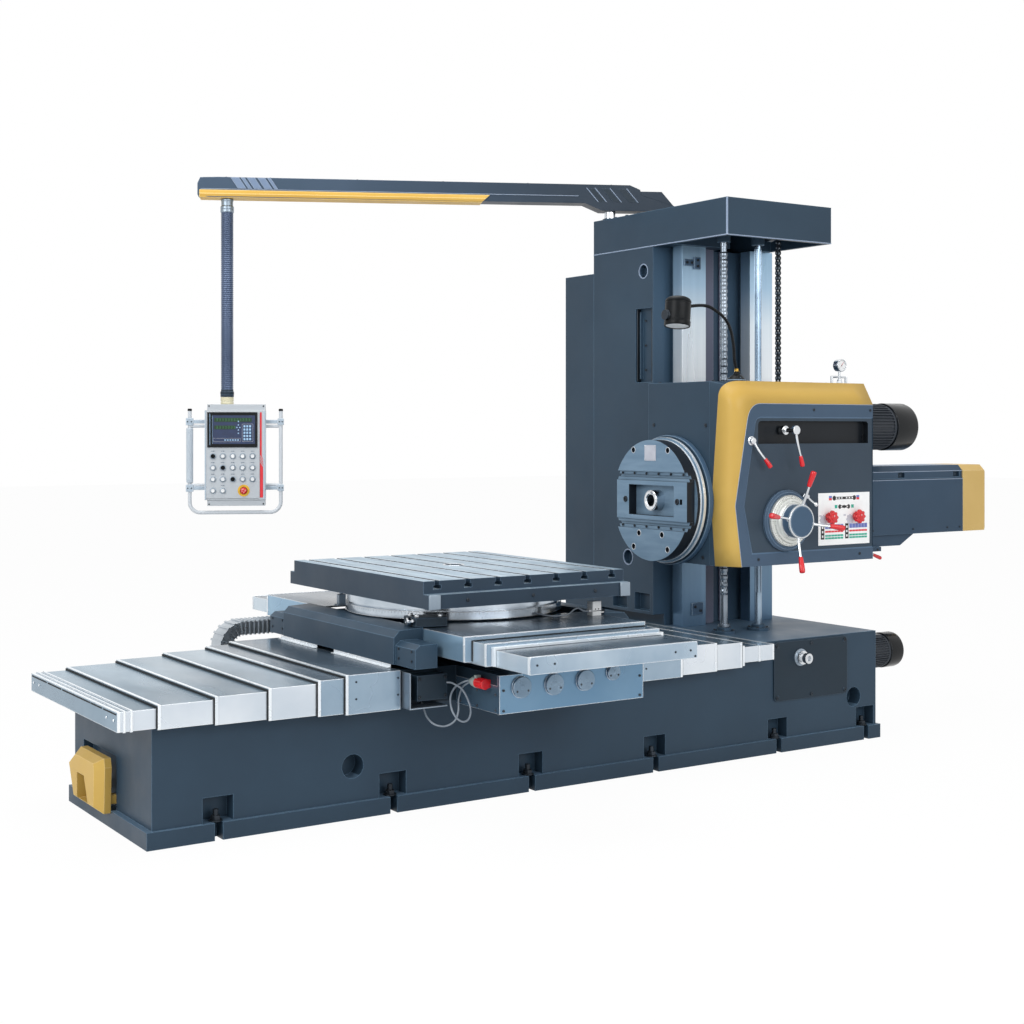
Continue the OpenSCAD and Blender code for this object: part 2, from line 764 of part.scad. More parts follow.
// Flexible metal cable carrier: upper run, bend and lower run
module cable_carrier() {
    w = carrier_y[1] - carrier_y[0];
    rib = 6;
    pitch = 25;
    color(steel) {
        carrier_run(carrier_mid_z + carrier_bend, carrier_upper, w, rib, pitch);
        carrier_run(carrier_mid_z - carrier_bend, carrier_lower, w, rib, pitch);
        translate([carrier_x, carrier_y[1], carrier_mid_z]) rotate([90, 0, 0]) {
            rotate([0, 0, 90]) rotate_extrude(angle = 180)
                translate([carrier_bend - carrier_t / 2 + rib, rib])
                square([carrier_t - 2 * rib, w - 2 * rib]);
            for (i = [0 : 10]) rotate([0, 0, 93 + 17.2 * i]) rotate_extrude(angle = 5)
                translate([carrier_bend - carrier_t / 2, 0]) square([carrier_t, w]);
        }
    }
}

// A straight run of the carrier at height z
module carrier_run(z, length, w, rib, pitch) {
    block([carrier_x, carrier_y[0] + rib, z - carrier_t / 2 + rib],
        [carrier_x + length, carrier_y[1] - rib, z + carrier_t / 2 - rib]);
    for (i = [0 : floor(length / pitch) - 1])
        block([carrier_x + 8 + pitch * i, carrier_y[0], z - carrier_t / 2],
            [carrier_x + 18 + pitch * i, carrier_y[1], z + carrier_t / 2]);
}

// Cross slide: a deck with a side beam and wiper caps at each side
module cross_slide() {
    inner_x0 = cross_slide_x0 + beam_w;
    inner_x1 = cross_slide_x1 - beam_w;
    color(paint) {
        difference() {
            union() {
                block([inner_x0, -deck_half, cross_bottom], [inner_x1, deck_half, 790]);
                side_beam(1);
                side_beam(-1);
                bar_z(table_x, 0, 780, ring_z0, 430);
            }
            block([table_x - 60, -deck_half - 1, cross_bottom - 1],
                [table_x + 60, deck_half + 1, cross_way_z + 40]);
            block([table_x - 330, -deck_half + 40, 712], [table_x - 70, deck_half - 40, 770]);
            block([table_x + 70, -deck_half + 40, 712], [table_x + 330, deck_half - 40, 770]);
            bar_z(table_x, 0, 700, ring_z0 + 1, centre_bore_r + 8);
        }
        difference() {
            block([table_x - 50, -60, cross_way_z - 50], [table_x + 50, 60, cross_way_z + 40]);
            bar_y(table_x, -61, 61, cross_way_z - 28, 16 + run_gap);
        }
    }
}

// One side beam with its chamfered top and its wiper caps; s = 1 is the left one
module side_beam(s) {
    inner = beam_w + 8;
    profile = [[0, cross_bottom], [0, 786], [28, beam_top_z - 6], [inner, beam_top_z],
        [inner, cross_bottom]];
    cap = [[8, cross_bottom - 18], [8, 752], [34, 772], [118, 772], [118, cross_bottom - 18]];
    for (p = [[profile, -beam_half, beam_half], [cap, -beam_half - wiper_reach, -beam_half],
            [cap, beam_half, beam_half + wiper_reach]])
        xz_plate([for (q = p[0]) [s > 0 ? cross_slide_x0 + q[0] : cross_slide_x1 - q[0],
            max(q[1], cross_bottom)]], p[1], p[2]);
}

// Stacked bearing ring between the cross slide and the table
module table_bearing_ring() {
    groove = 6;
    color(bright) translate([table_x, 0, 0]) rotate_extrude($fn = 96)
        polygon([[ring_r - 120, ring_z0], [ring_r, ring_z0], [ring_r, ring_z0 + ring_step - groove],
            [ring_r - 20, ring_z0 + ring_step - groove], [ring_r - 20, ring_z0 + ring_step],
            [ring_r - 10, ring_z0 + ring_step], [ring_r - 10, table_z0 - slide_gap],
            [ring_r - 120, table_z0 - slide_gap]]);
}

// Rotary table with its tee slots, its lower flange and the index block
module rotary_table() {
    y_end = table_l / 2 + 1;
    color(paint) translate([table_x, 0, 0]) difference() {
        union() {
            block([-table_w / 2, -table_l / 2, table_top_z - table_plate_h],
                [table_w / 2, table_l / 2, table_top_z]);
            block([-table_w / 2, -table_l / 2 - table_flange_out, table_z0],
                [table_w / 2, table_l / 2 + table_flange_out, table_z0 + table_flange_h]);
        }
        for (i = [0 : slot_count - 1]) translate([(i - (slot_count - 1) / 2) * slot_pitch, 0, 0]) {
            block([-tee_neck_w / 2, -y_end, table_top_z - tee_neck_h - 1],
                [tee_neck_w / 2, y_end, table_top_z + 1]);
            block([-tee_head_w / 2, -y_end, table_top_z - tee_neck_h - tee_head_h],
                [tee_head_w / 2, y_end, table_top_z - tee_neck_h]);
        }
        bar_z(0, 0, table_z0 - 1, table_top_z + 1, centre_bore_r);
    }
}

// Limit switch box on the cross cover in front of the ring
module limit_switch() {
    color(white) {
        block([52, -610, cross_top[2]], [102, -568, 884]);
        block([40, -600, 836], [52, -578, 844]);
        bar_x(102, 124, -598, 830, 4);
    }
}

// Screw that drives the cross slide
module cross_leadscrew() {
    color(bright) {
        translate([table_x, rear_arm_y - 80, cross_way_z - 28]) rotate([90, 0, 0])
            thread(rear_arm_y - 123 - arm_front, 15, 50);
        bar_y(table_x, arm_front + 12, arm_front + 48, cross_way_z - 28, 16);
        bar_y(table_x, rear_arm_y - 81, rear_arm_y, cross_way_z - 28, 16);
    }
}

// Column with its counterweight well, core holes and bearing flanges
module column() {
    foot_z = 655;
    color(paint) {
        difference() {
            union() {
                block([column_x0, column_y0, foot_z], [column_x1, column_y1, cap_z0]);
                block([column_deck_x, column_y0, column_deck_z], [column_x1, column_y1, foot_z]);
                for (g = [guide_left, guide_right])
                    block([g[0] + neck_in, guide_y + guide_d, column_deck_z],
                        [g[1] - neck_in, column_y0, cap_z0]);
            }
            block([well_x[0] - 10, well_y[0] - 10, column_deck_z + 60],
                [well_x[1] + 10, well_y[1] + 10, cap_z0 + 1]);
            block([column_x0 + 60, column_y0 + 60, column_deck_z + 120],
                [well_x[0] - 70, column_y1 - 50, cap_z0 - 150]);
            bar_x(column_x0 - 1, column_x0 + 40, 410, 2602, 38);
            bar_x(column_x0 - 1, column_x0 + 40, 552, 966, 42);
            block([column_x0 - 1, 328, 1970], [column_x0 + 30, 480, 2390]);
            block([column_x0 - 1, 348, 672], [column_x0 + 40, 488, 770]);
            block([column_x0 - 1, 560, 672], [column_x0 + 40, 694, 736]);
        }
        block([column_x0 + 12, 448, 1990], [column_x0 + 30, 456, 2370]);
    }
    color(dark_paint) {
        bearing_flange(screw_x, screw_r);
        bearing_flange(shaft_x, shaft_r);
    }
}

// Flanged bearing on the deck for an upright shaft
module bearing_flange(x, r) {
    difference() {
        union() {
            bar_z(x, screw_y, column_deck_z, column_deck_z + 16, r + 42);
            bar_z(x, screw_y, column_deck_z + 16, column_deck_z + 34, r + 18);
        }
        bar_z(x, screw_y, column_deck_z - 1, column_deck_z + 35, r + run_gap);
    }
}

// Ground guideways on the column's front
module column_guideways() {
    color(steel) {
        for (g = [guide_left, guide_right])
            block([g[0], guide_y, column_deck_z], [g[1], guide_y + guide_d, cap_z0]);
    }
}

// Hollow cap over the screws, with the boom's pivot post
module column_cap() {
    wall = 24;
    outline = [[column_x0, cap_y0], [cap_x1, cap_y0], [cap_x1, column_y0 - 40],
        [column_x1, column_y0], [column_x1, column_y1], [column_x0, column_y1]];
    color(paint) {
        difference() {
            translate([0, 0, cap_z0]) linear_extrude(cap_z1 - cap_z0) polygon(outline);
            block([column_x0 + wall, cap_y0 + wall, cap_z0 - 1],
                [cap_x1 - wall, guide_y - 40, cap_z1 - wall]);
            block([chain_x - 110, guide_y - 41, cap_z0 - 1],
                [chain_x + 110, well_y[1], cap_z1 - wall]);
        }
        cup(screw_x, screw_r);
        cup(shaft_x, shaft_r);
        bar_z(post_x, post_y, cap_z1, boom_bottom_z + 40, post_r);
        bar_z(post_x, post_y, cap_z1, cap_z1 + 20, post_r + 3);
        for (x = [chain_x - 50, chain_x + 38]) difference() {
            block([x, chain_y + sprocket_r - 30, sprocket_z - 30],
                [x + 12, chain_y + sprocket_r + 30, cap_z1 - wall + 1]);
            bar_x(x - 1, x + 13, chain_y + sprocket_r, sprocket_z, 12 + run_gap);
        }
    }
}

// Bearing cup that hangs under the cap's roof
module cup(x, r) {
    difference() {
        bar_z(x, screw_y, cap_z0 - 14, cap_z1 - 23, r + 16);
        bar_z(x, screw_y, cap_z0 - 15, cap_z1 - 60, r + run_gap);
    }
}

// Electrical cabinet on the column's back
module column_rear_box() {
    color(paint) {
        difference() {
            block([column_x0, column_y1, column_deck_z], [cabinet_x1, cabinet_y1, cabinet_z1]);
            block([column_x0 + 30, column_y1 + 30, column_deck_z + 30],
                [cabinet_x1 - 30, cabinet_y1 - 30, cabinet_z1 - 30]);
        }
        for (z = [column_deck_z + 310, cabinet_z1 - 427])
            bar_y(cabinet_x1 - 60, cabinet_y1, cabinet_y1 + 12, z, 14);
    }
}

// Screw that lifts the headstock
module vertical_leadscrew() {
    color(bright) {
        bar_z(screw_x, screw_y, column_deck_z + 2, thread_z[0], screw_r);
        translate([screw_x, screw_y, thread_z[0]])
            thread(thread_z[1] - thread_z[0], screw_r, 40);
        bar_z(screw_x, screw_y, thread_z[1], cap_z1 - 62, screw_r);
        bar_z(screw_x, screw_y, column_deck_z + 36, column_deck_z + 52, screw_r + 14);
    }
}

// Splined shaft that drives the headstock's feed
module splined_feed_shaft() {
    keys = 6;
    color(bright) {
        bar_z(shaft_x, screw_y, column_deck_z + 2, thread_z[0], shaft_r);
        bar_z(shaft_x, screw_y, thread_z[0], thread_z[1], shaft_r - 4);
        for (i = [0 : keys - 1]) translate([shaft_x, screw_y, thread_z[0]]) rotate([0, 0, 60 * i])
            block([shaft_r - 7, -4, 0], [shaft_r - 0.4, 4, thread_z[1] - thread_z[0]]);
        bar_z(shaft_x, screw_y, thread_z[1], cap_z1 - 62, shaft_r);
    }
}

// Sprocket under the cap that turns the counterweight's chain, with its axle
module chain_sprocket() {
    color(dark_paint) {
        difference() {
            bar_x(chain_x - 14, chain_x + 14, chain_y + sprocket_r, sprocket_z, sprocket_r - 10);
            for (i = [0 : 5]) translate([chain_x - 15, chain_y + sprocket_r, sprocket_z])
                rotate([60 * i, 0, 0]) translate([0, 0, 36]) rotate([0, 90, 0])
                cylinder(h = 30, r = 10);
        }
        bar_x(chain_x - 50, chain_x + 50, chain_y + sprocket_r, sprocket_z, 12);
        for (x = [chain_x - 38 + slide_gap, chain_x + 14])
            bar_x(x, x + 24 - slide_gap, chain_y + sprocket_r, sprocket_z, 18);
    }
}

// Roller chain strand between the headstock and the cap
module counterweight_chain() {
    pitch = 28;
    z0 = head_z1 + slide_gap;
    links = 30;
    color(dark_paint) {
        for (i = [0 : links - 1]) {
            z = z0 + i * pitch;
            w = i % 2 == 0 ? 11 : 8;
            for (s = [-1, 1])
                block([chain_x + s * w - 1.5, chain_y - 9, z], [chain_x + s * w + 1.5, chain_y + 9,
                    z + pitch + 10]);
            bar_x(chain_x - 12, chain_x + 12, chain_y, z + 5, 5);
        }
    }
}

// Counterweight that hangs in the column's well
module counterweight() {
    color(dark_paint) {
        block([well_x[0], well_y[0], weight_z[0]], [well_x[1], well_y[1], weight_z[1]]);
        for (z = [weight_z[0] + 40, weight_z[1] - 120])
            block([chain_x - 30, well_y[0] - 10 + slide_gap, z],
                [chain_x + 30, well_y[1] + 10 - slide_gap, z + 80]);
        bar_z(chain_x, (well_y[0] + well_y[1]) / 2, weight_z[1], weight_z[1] + 40, 20);
    }
}

// Headstock casting that slides on the column's guideways
module headstock() {
    wrap_z = [head_z0, head_z1];
    color(paint) difference() {
        union() {
            block([head_x0, apron_back_y, head_z0], [head_x1, head_back_y, head_z1]);
            for (g = [[guide_left[0] - 46, guide_left[0] - slide_gap],
                    [guide_right[1] + slide_gap, guide_right[1] + 46]])
                block([g[0], head_back_y - 1, wrap_z[0]],
                    [g[1], guide_y + guide_d + slide_gap, wrap_z[1]]);
            block([guide_left[0] - 46, guide_y + guide_d + slide_gap, wrap_z[0]],
                [guide_left[0] + neck_in - 4, column_y0 - 4, wrap_z[1]]);
            block([guide_right[1] - neck_in + 4, guide_y + guide_d + slide_gap, wrap_z[0]],
                [guide_right[1] + 46, column_y0 - 4, wrap_z[1]]);
            bar_x(head_x0 - 30, head_x0, 0, spindle_z, face_r + 22);
        }
        bar_x(head_x0 - 31, head_x1 + 1, 0, spindle_z, sleeve_r + run_gap);
        bar_z(screw_x, screw_y, head_z0 - 1, head_z1 + 1, screw_r + 3);
        bar_z(shaft_x, screw_y, head_z0 - 1, head_z1 + 1, shaft_r + 3);
        block([head_x0 + 60, apron_back_y - 1, spindle_z + 140],
            [screw_x - 80, guide_y - 60, head_z1 - 60]);
        block([shaft_x + 80, apron_back_y - 1, spindle_z + 140],
            [head_x1 - 60, guide_y - 60, head_z1 - 60]);
        block([shaft_x + 80, apron_back_y - 1, head_z0 + 40],
            [head_x1 - 60, guide_y - 60, spindle_z - 140]);
    }
}

// Front outline of the control panel in the XZ plane
front_outline = [[1090, 988], [1045, 1305], [1130, 1760], [1142, 1800], [1166, 1826],
    [1205, 1836], [2050, 1836], [2050, 988]];
top_outline = [[1078, 1900], [1092, 1932], [1125, 1951], [1170, 1955], [2050, 1955],
    [2050, 1800], [1078, 1800]];

// Bevelled front shell of the headstock, grown outwards by t on its left and top
module apron_form(t) {
    hull() {
        xz_plate([for (p = front_outline) [p[0] < 2000 ? p[0] - t : p[0], p[1] > 1700 ? p[1] + t
            : p[1]]], panel_y, panel_y + 4);
        xz_plate([for (p = top_outline) [p[0] < 2000 ? p[0] - t : p[0], p[1] > 1850 ? p[1] + t
            : p[1]]], -430, -426);
        xz_plate([[head_x0 - t, head_z0], [head_x0 - t, head_z1 - 12], [head_x0 + 12, head_z1 + t],
            [head_x1, head_z1 + t], [head_x1, head_z0]], apron_back_y - 4, apron_back_y);
    }
}

// Control panel: front shell with its recessed field and the data plate
module control_panel() {
    field = [[1160, 1050], [1105, 1300], [1185, 1742], [1215, 1768], [2051, 1768], [2051, 1050]];
    color(paint) difference() {
        apron_form(0);
        xz_plate(field, panel_y - 1, panel_y + field_d);
        xz_plate([[1205, 1625], [1205, 1738], [1225, 1750], [2010, 1750], [2010, 1625]],
            panel_y - 1, panel_y + 44);
        bar_y(capstan_x, panel_y - 1, apron_back_y + 1, capstan_z, 40 + run_gap);
        for (l = [left_lever, right_lever, small_lever])
            bar_y(l[0], panel_y - 1, apron_back_y + 1, l[1], 12 + run_gap);
        for (x = knob_x) bar_y(x, panel_y - 1, panel_y + 60, knob_z, 10 + run_gap);
    }
    color(white) difference() {
        block([1638, panel_y + field_d - 2, 1076], [2026, panel_y + field_d, 1358]);
        for (x = knob_x) bar_y(x, panel_y - 1, panel_y + 60, knob_z, 10 + run_gap);
    }
}

// Yellow bevel band on the left and top of the front shell
module headstock_trim() {
    chevron = [[-520, 980], [-360, 980], [-332, 1290], [-385, 1880], [-430, 1960], [-430, 1990],
        [-520, 1990]];
    color(mustard) difference() {
        intersection() {
            apron_form(5);
            yz_plate(chevron, 900, head_x1);
        }
        apron_form(0.01);
        bar_x(head_x0 - 31, head_x0 + 1, 0, spindle_z, face_r + 22 + slide_gap);
        xz_plate([for (p = front_outline) [p[0] == 2050 ? 2060 : p[0] + 4,
            p[1] == 988 ? 970 : p[1] - 3]], panel_y - 20, panel_y + 3);
        block([900, -540, 900], [2100, panel_y, 2000]);
        block([900, -540, 900], [2100, -300, head_z0 + 2]);
    }
}

// Facing head with its cross channel and the sleeve that runs in the headstock
module faceplate() {
    back_x = head_x0 - 30 - slide_gap;
    color(steel) difference() {
        union() {
            bar_x(face_x, back_x, 0, spindle_z, face_r);
            bar_x(back_x - 26, back_x - 12, 0, spindle_z, face_r + 12);
            bar_x(back_x - 1, head_x1, 0, spindle_z, sleeve_r);
        }
        block([face_x - 1, -face_r - 20, spindle_z - channel_half],
            [face_x + 18, face_r + 20, spindle_z + channel_half]);
        block([face_x + 17, -face_r - 20, spindle_z - slide_half - slide_gap],
            [face_x + 42, face_r + 20, spindle_z + slide_half + slide_gap]);
        block([face_x + 41, -face_r - 20, spindle_z - slide_half - 14],
            [face_x + 56, face_r + 20, spindle_z + slide_half + 14]);
        bar_x(face_x, head_x1 + 1, 0, spindle_z, spindle_r + run_gap);
        for (a = [[147, 270], [-147, 270], [98, -180], [-98, -180], [145, -256], [-145, -256]])
            bar_x(face_x - 1, face_x + 24, a[0], spindle_z + a[1], 15);
        for (s = [-1, 1])
            block([face_x + 18, -face_r - 20, spindle_z + s * 130 - 8],
                [face_x + 34, face_r + 20, spindle_z + s * 130 + 8]);
    }
}

// Radial facing slide with its window for the spindle
module facing_slide() {
    half_l = 300;
    edge = slide_half + 14 - slide_gap;
    color(steel) difference() {
        union() {
            block([face_x + 4, -half_l, spindle_z - slide_half],
                [face_x + 44, half_l, spindle_z + slide_half]);
            block([face_x + 41 + slide_gap, -half_l, spindle_z - edge],
                [face_x + 56 - slide_gap, half_l, spindle_z + edge]);
        }
        block([face_x + 3, -192, spindle_z - 82], [face_x + 57, 192, spindle_z + 82]);
        block([face_x + 3, -262, spindle_z - 14], [face_x + 20, -242, spindle_z + 14]);
    }
}

// Boring spindle with its nose bore
module boring_spindle() {
    color(bright) difference() {
        bar_x(face_x + 2, tail_x1 - 240, 0, spindle_z, spindle_r);
        bar_x(face_x + 1, face_x + 150, 0, spindle_z, nose_bore_r);
    }
}

// Motor on the headstock's right face
module spindle_motor() {
    color(black) motor(head_x1, head_x1 + 586, -176, 1716, spindle_motor_r);
}

// Tail housing for the spindle's back end, with its lower bracket
module tail_housing() {
    section = [[tail_y0, tail_z0], [tail_y0, 1400], [tail_y0 + 8, 1410], [tail_y0 + 8, 1450],
        [tail_y0 + 36, tail_z1], [tail_y1 - 36, tail_z1], [tail_y1, 1450], [tail_y1, tail_z0]];
    color(paint) {
        difference() {
            yz_plate(section, head_x1, tail_x1);
            bar_x(head_x1 - 1, tail_x1 - 60, 0, spindle_z, tail_bore_r);
            block([2210, tail_y0 - 1, 1412], [2250, tail_y0 + 24, 1446]);
            for (x = [2640, 3120])
                block([x, tail_y0 - 1, 1414], [x + 56, tail_y0 + 30, 1446]);
        }
        xz_plate([[head_x1, tail_z0], [2800, tail_z0], [2680, 1012], [head_x1, 1012]], -120, 150);
        difference() {
            block([head_x1, -140, 986], [2500, 40, 1012]);
            bar_y(clamp_lever[0], -141, -100, clamp_lever[1], 6 + run_gap);
        }
    }
}

// End cap of the tail housing
module tail_end_cap() {
    x1 = tail_cap_x1;
    color(mustard) hull() {
        yz_plate([[tail_y0, tail_z0], [tail_y0, 1450], [tail_y0 + 36, tail_z1],
            [tail_y1 - 36, tail_z1], [tail_y1, 1450], [tail_y1, tail_z0]], tail_x1, x1 - 24);
        yz_plate([[tail_y0 + 16, tail_z0 + 18], [tail_y0 + 16, 1440], [tail_y0 + 44, 1468],
            [tail_y1 - 44, 1468], [tail_y1 - 16, 1440], [tail_y1 - 16, tail_z0 + 18]],
            x1 - 25, x1);
    }
}

// Capstan: hub, graduated dial and four spokes with grips
module capstan() {
    y_face = panel_y + field_d - slide_gap;
    color(bright) translate([capstan_x, y_face, capstan_z]) rotate([90, 0, 0])
        rotate_extrude() polygon([[0, 0], [dial_r, 0], [dial_r, 18], [dial_r - 10, 26],
            [dial_r - 26, 26], [dial_r - 30, 40], [dial_r - 46, 44], [dial_r - 50, 54],
            [dial_r - 64, 58], [hub_r - 8, 60], [hub_r, 64], [hub_r, 118], [hub_r - 8, 126],
            [0, 126]]);
    color(paint) bar_y(capstan_x, y_face, apron_back_y - 20, capstan_z, 40);
    for (i = [0 : 3]) translate([capstan_x, y_face - 84, capstan_z])
        rotate([0, spoke_turn + 90 * i, 0]) rotate([18, 0, 0]) {
            color(bright) bar_z(0, 0, hub_r - 20, grip_reach - 82, 8);
            color(red) {
                bar_z(0, 0, grip_reach - 86, grip_reach - 8, 15);
                bar_z(0, 0, grip_reach - 8, grip_reach, 11);
            }
        }
}

// A lever on the panel: boss, arm turned by angle and a red grip
module lever(x, z, y0, reach, angle, boss_r, lean) {
    color(bright) {
        bar_y(x, y0, panel_y + 60, z, 12);
        bar_y(x, y0 - 24, y0, z, boss_r);
        translate([x, y0 - 12, z]) rotate([0, angle, 0]) rotate([lean, 0, 0])
            bar_z(0, 0, boss_r - 6, reach - 50, 7);
    }
    color(red) translate([x, y0 - 12, z]) rotate([0, angle, 0]) rotate([lean, 0, 0])
        bar_z(0, 0, reach - 50, reach, 12);
}

module speed_lever_left() {
    lever(left_lever[0], left_lever[1], panel_y - slide_gap, 172, 146, 18, 12);
}

module speed_lever_right() {
    lever(right_lever[0], right_lever[1], panel_y - 62, 198, 165, 24, 0);
}

// Small feed lever beside the capstan
module feed_lever_small() {
    x = small_lever[0];
    z = small_lever[1];
    color(bright) {
        bar_y(x, panel_y - 16, panel_y + 60, z, 12);
        bar_y(x, panel_y - 40, panel_y - 16, z, 14);
        translate([x, panel_y - 28, z]) rotate([0, 130, 0]) bar_z(0, 0, 8, 64, 6);
        translate([x, panel_y - 28, z]) rotate([0, 130, 0]) bar_z(0, 0, 56, 80, 11);
    }
}

// Star shaped selector knob in front of the data plate
module star_knob(x) {
    y0 = panel_y + field_d - 2 - slide_gap;
    color(red) {
        bar_y(x, y0 - 18, y0, knob_z, 22);
        translate([x, y0 - 18, knob_z]) rotate([90, 0, 0]) linear_extrude(26)
            polygon([for (i = [0 : 15]) let (r = i % 2 == 0 ? 36 : 26)
                [r * cos(22.5 * i), r * sin(22.5 * i)]]);
    }
    color(bright) bar_y(x, y0, panel_y + 55, knob_z, 10);
}

module star_knob_left() {
    star_knob(knob_x[0]);
}

module star_knob_right() {
    star_knob(knob_x[1]);
}

// Clamp lever under the tail housing
module lower_lever() {
    x = clamp_lever[0];
    z = clamp_lever[1];
    y = -160;
    color(bright) {
        bar_y(x, y - 10, -140 - slide_gap, z, 11);
        bar_y(x, -142, -104, z, 6);
        translate([x, y - 4, z]) rotate([0, 110, 0]) bar_z(0, 0, 6, 80, 6);
    }
    color(red) translate([x, y - 4, z]) rotate([0, 110, 0]) bar_z(0, 0, 80, 150, 11);
}

// Pressure gauge with its pipe on the headstock's top
module pressure_gauge() {
    x = 1996;
    y = -300;
    z = 2060;
    color(bright) {
        bar_z(x, y, head_z1, head_z1 + 26, 14);
        bar_z(x, y, head_z1 + 26, z - 30, 7);
        bar_y(x, y - 16, y + 16, z, 34);
        bar_x(x - 60, x - 10, y, head_z1 + 40, 6);
        bar_z(x - 60, y, head_z1, head_z1 + 44, 8);
        bar_x(x + 10, x + 50, y, head_z1 + 40, 6);
        bar_z(x + 50, y, head_z1, head_z1 + 44, 8);
    }
}

// Route of the lamp's flexible neck
lamp_x = 1192;
lamp_y = -345;
neck = [[lamp_x, lamp_y, 1990], [1188, -346, 2020], [1172, -350, 2070], [1159, -358, 2142],
    [1129, -370, 2221], [1074, -385, 2282], [977, -402, 2328], [907, -414, 2340],
    [813, -427, 2332], [765, -431, 2318]];

// Work lamp on its foot
module work_lamp() {
    color(black) {
        bar_z(lamp_x, lamp_y, head_z1 + slide_gap, 1972, 46);
        translate([lamp_x, lamp_y, 1972]) cylinder(h = 20, r1 = 42, r2 = 22);
        tube(neck, 8, 10);
        translate([712, -432, 2352]) rotate([0, 184, 0]) translate([0, 0, -14]) {
            cylinder(h = 140, r = 66);
            translate([0, 0, -16]) cylinder(h = 16, r1 = 48, r2 = 64);
        }
        bar_x(632, 660, -432, 2280, 26);
    }
}

// Moves its children into the boom's own frame: X runs along the boom from the post
module boom_frame() {
    translate([post_x, post_y, 0]) rotate([0, 0, boom_turn]) children();
}

// Boom that carries the pendant, turning on its post
module boom_arm() {
    tip = boom_reach + 165;
    low = boom_bottom_z;
    side = [[tip, boom_top_z - 38], [tip - 16, boom_top_z - 4], [tip - 120, boom_top_z],
        [-110, boom_top_z], [-172, boom_top_z - 26], [-180, boom_top_z - 60], [-380, low + 2],
        [-380, low - 32], [-150, low - 32], [60, low - 32], [160, low + 10], [tip - 60, low + 6],
        [tip, low + 18]];
    color(paint) boom_frame() difference() {
        xz_plate(side, -boom_w / 2, boom_w / 2);
        block([180, -boom_w / 2 + 8, low + 34], [tip - 130, boom_w / 2 - 8, boom_top_z - 12]);
        bar_z(0, 0, low - 40, low + 40 + slide_gap, post_r + run_gap);
        bar_z(boom_reach, 0, low - 40, low + 34, 20 + run_gap);
    }
}

// Ribbed tube with a bore, from z0 to z1, as one closed surface of 8 sided rings
module ribbed_tube(z0, z1, r, depth, bore, ribs) {
    n = 2 * ribs + 1;
    outer = [for (i = [0 : n - 1], k = [0 : 7]) let (q = i % 2 == 0 ? r - depth : r,
        z = z0 + (z1 - z0) * i / (n - 1)) [q * cos(45 * k), q * sin(45 * k), z]];
    inner = [for (z = [z0, z1], k = [0 : 7]) [bore * cos(45 * k), bore * sin(45 * k), z]];
    b = 8 * n;
    walls = [for (i = [0 : n - 2], k = [0 : 7]) let (m = (k + 1) % 8)
        each [[8 * i + k, 8 * i + 8 + m, 8 * i + m], [8 * i + k, 8 * i + 8 + k, 8 * i + 8 + m]]];
    hole = [for (k = [0 : 7]) let (m = (k + 1) % 8)
        each [[b + k, b + m, b + 8 + m], [b + k, b + 8 + m, b + 8 + k]]];
    foot = [for (k = [0 : 7]) let (m = (k + 1) % 8) each [[k, m, b + m], [k, b + m, b + k]]];
    head = [for (k = [0 : 7]) let (m = (k + 1) % 8, t = 8 * (n - 1))
        each [[t + k, b + 8 + m, t + m], [t + k, b + 8 + k, b + 8 + m]]];
    polyhedron(concat(outer, inner), concat(walls, hole, foot, head));
}

// Conduit from the boom down to the pendant, with its end fittings
module conduit() {
    fit_low = pendant_z1 + 52;
    fit_high = boom_bottom_z - 44;
    color(dark_paint) boom_frame() translate([boom_reach, 0, 0]) {
        ribbed_tube(fit_low, fit_high, conduit_r, 5, 24, conduit_ribs);
        bar_z(0, 0, pendant_z1, fit_low, conduit_r + 3);
        bar_z(0, 0, fit_high, boom_bottom_z + 6 - slide_gap, conduit_r + 1);
        bar_z(0, 0, boom_bottom_z, boom_bottom_z + 30, 20);
    }
}

// Moves its children into the pendant's frame: X to the right, -Y to the operator
module pendant_place() {
    boom_frame() translate([boom_reach, 0, 0]) rotate([0, 0, 180])
        translate([pendant_shift, 0, 0]) children();
}

// Pendant box with its end caps and the screen on its front
module pendant_box() {
    w = pendant_w / 2;
    d = pendant_d / 2;
    cap = 34;
    face = -d - 6;
    color(white) pendant_place() difference() {
        union() {
            block([-w, -d, pendant_z0 + cap], [w, d, pendant_z1 - cap]);
            block([-w + 14, -d + 6, pendant_z0], [w - 2, d - 6, pendant_z0 + cap]);
            block([-w + 14, -d + 6, pendant_z1 - cap], [w - 2, d - 6, pendant_z1]);
            block([-w + 10, face, pendant_z0 + cap + 10], [w - 34, -d, pendant_z1 - cap - 10]);
        }
        for (p = button_places) bar_y(p[0], face - 1, face + 30, p[1], 7 + run_gap);
        for (p = selector_places) bar_y(p[0], face - 1, face + 30, p[1], 7 + run_gap);
        bar_y(stop_place[0], face - 1, face + 30, stop_place[1], 9 + run_gap);
    }
    color(black) pendant_place()
        block([-w + 22, face - 5, 1602], [w - 46, face, 1796]);
}

// Places of the buttons on the pendant's face, as X and Z
button_dx = 56;
button_dz = 66;
button_x0 = -125;
button_z0 = 1548;
selector_cells = [[0, 0], [1, 1], [2, 2]];
function cell(c) = [button_x0 + button_dx * c[0], button_z0 - button_dz * c[1]];
selector_places = [for (c = selector_cells) cell(c)];
button_places = [for (r = [0 : 3], c = [0 : r == 3 ? 1 : 4]) if (c != r || r == 3) cell([c, r])];
stop_place = cell([3.1, 3]);

// Round body of a button or a selector at p, standing out of the face
module pendant_key(p, r, h, stem, gap) {
    face = -pendant_d / 2 - 6;
    bar_y(p[0], face - gap - h, face - gap, p[1], r);
    bar_y(p[0], face - gap - 1, face + 20, p[1], stem);
}

module push_buttons() {
    color(white) pendant_place() for (p = button_places) pendant_key(p, button_r, 10, 7, 5);
}

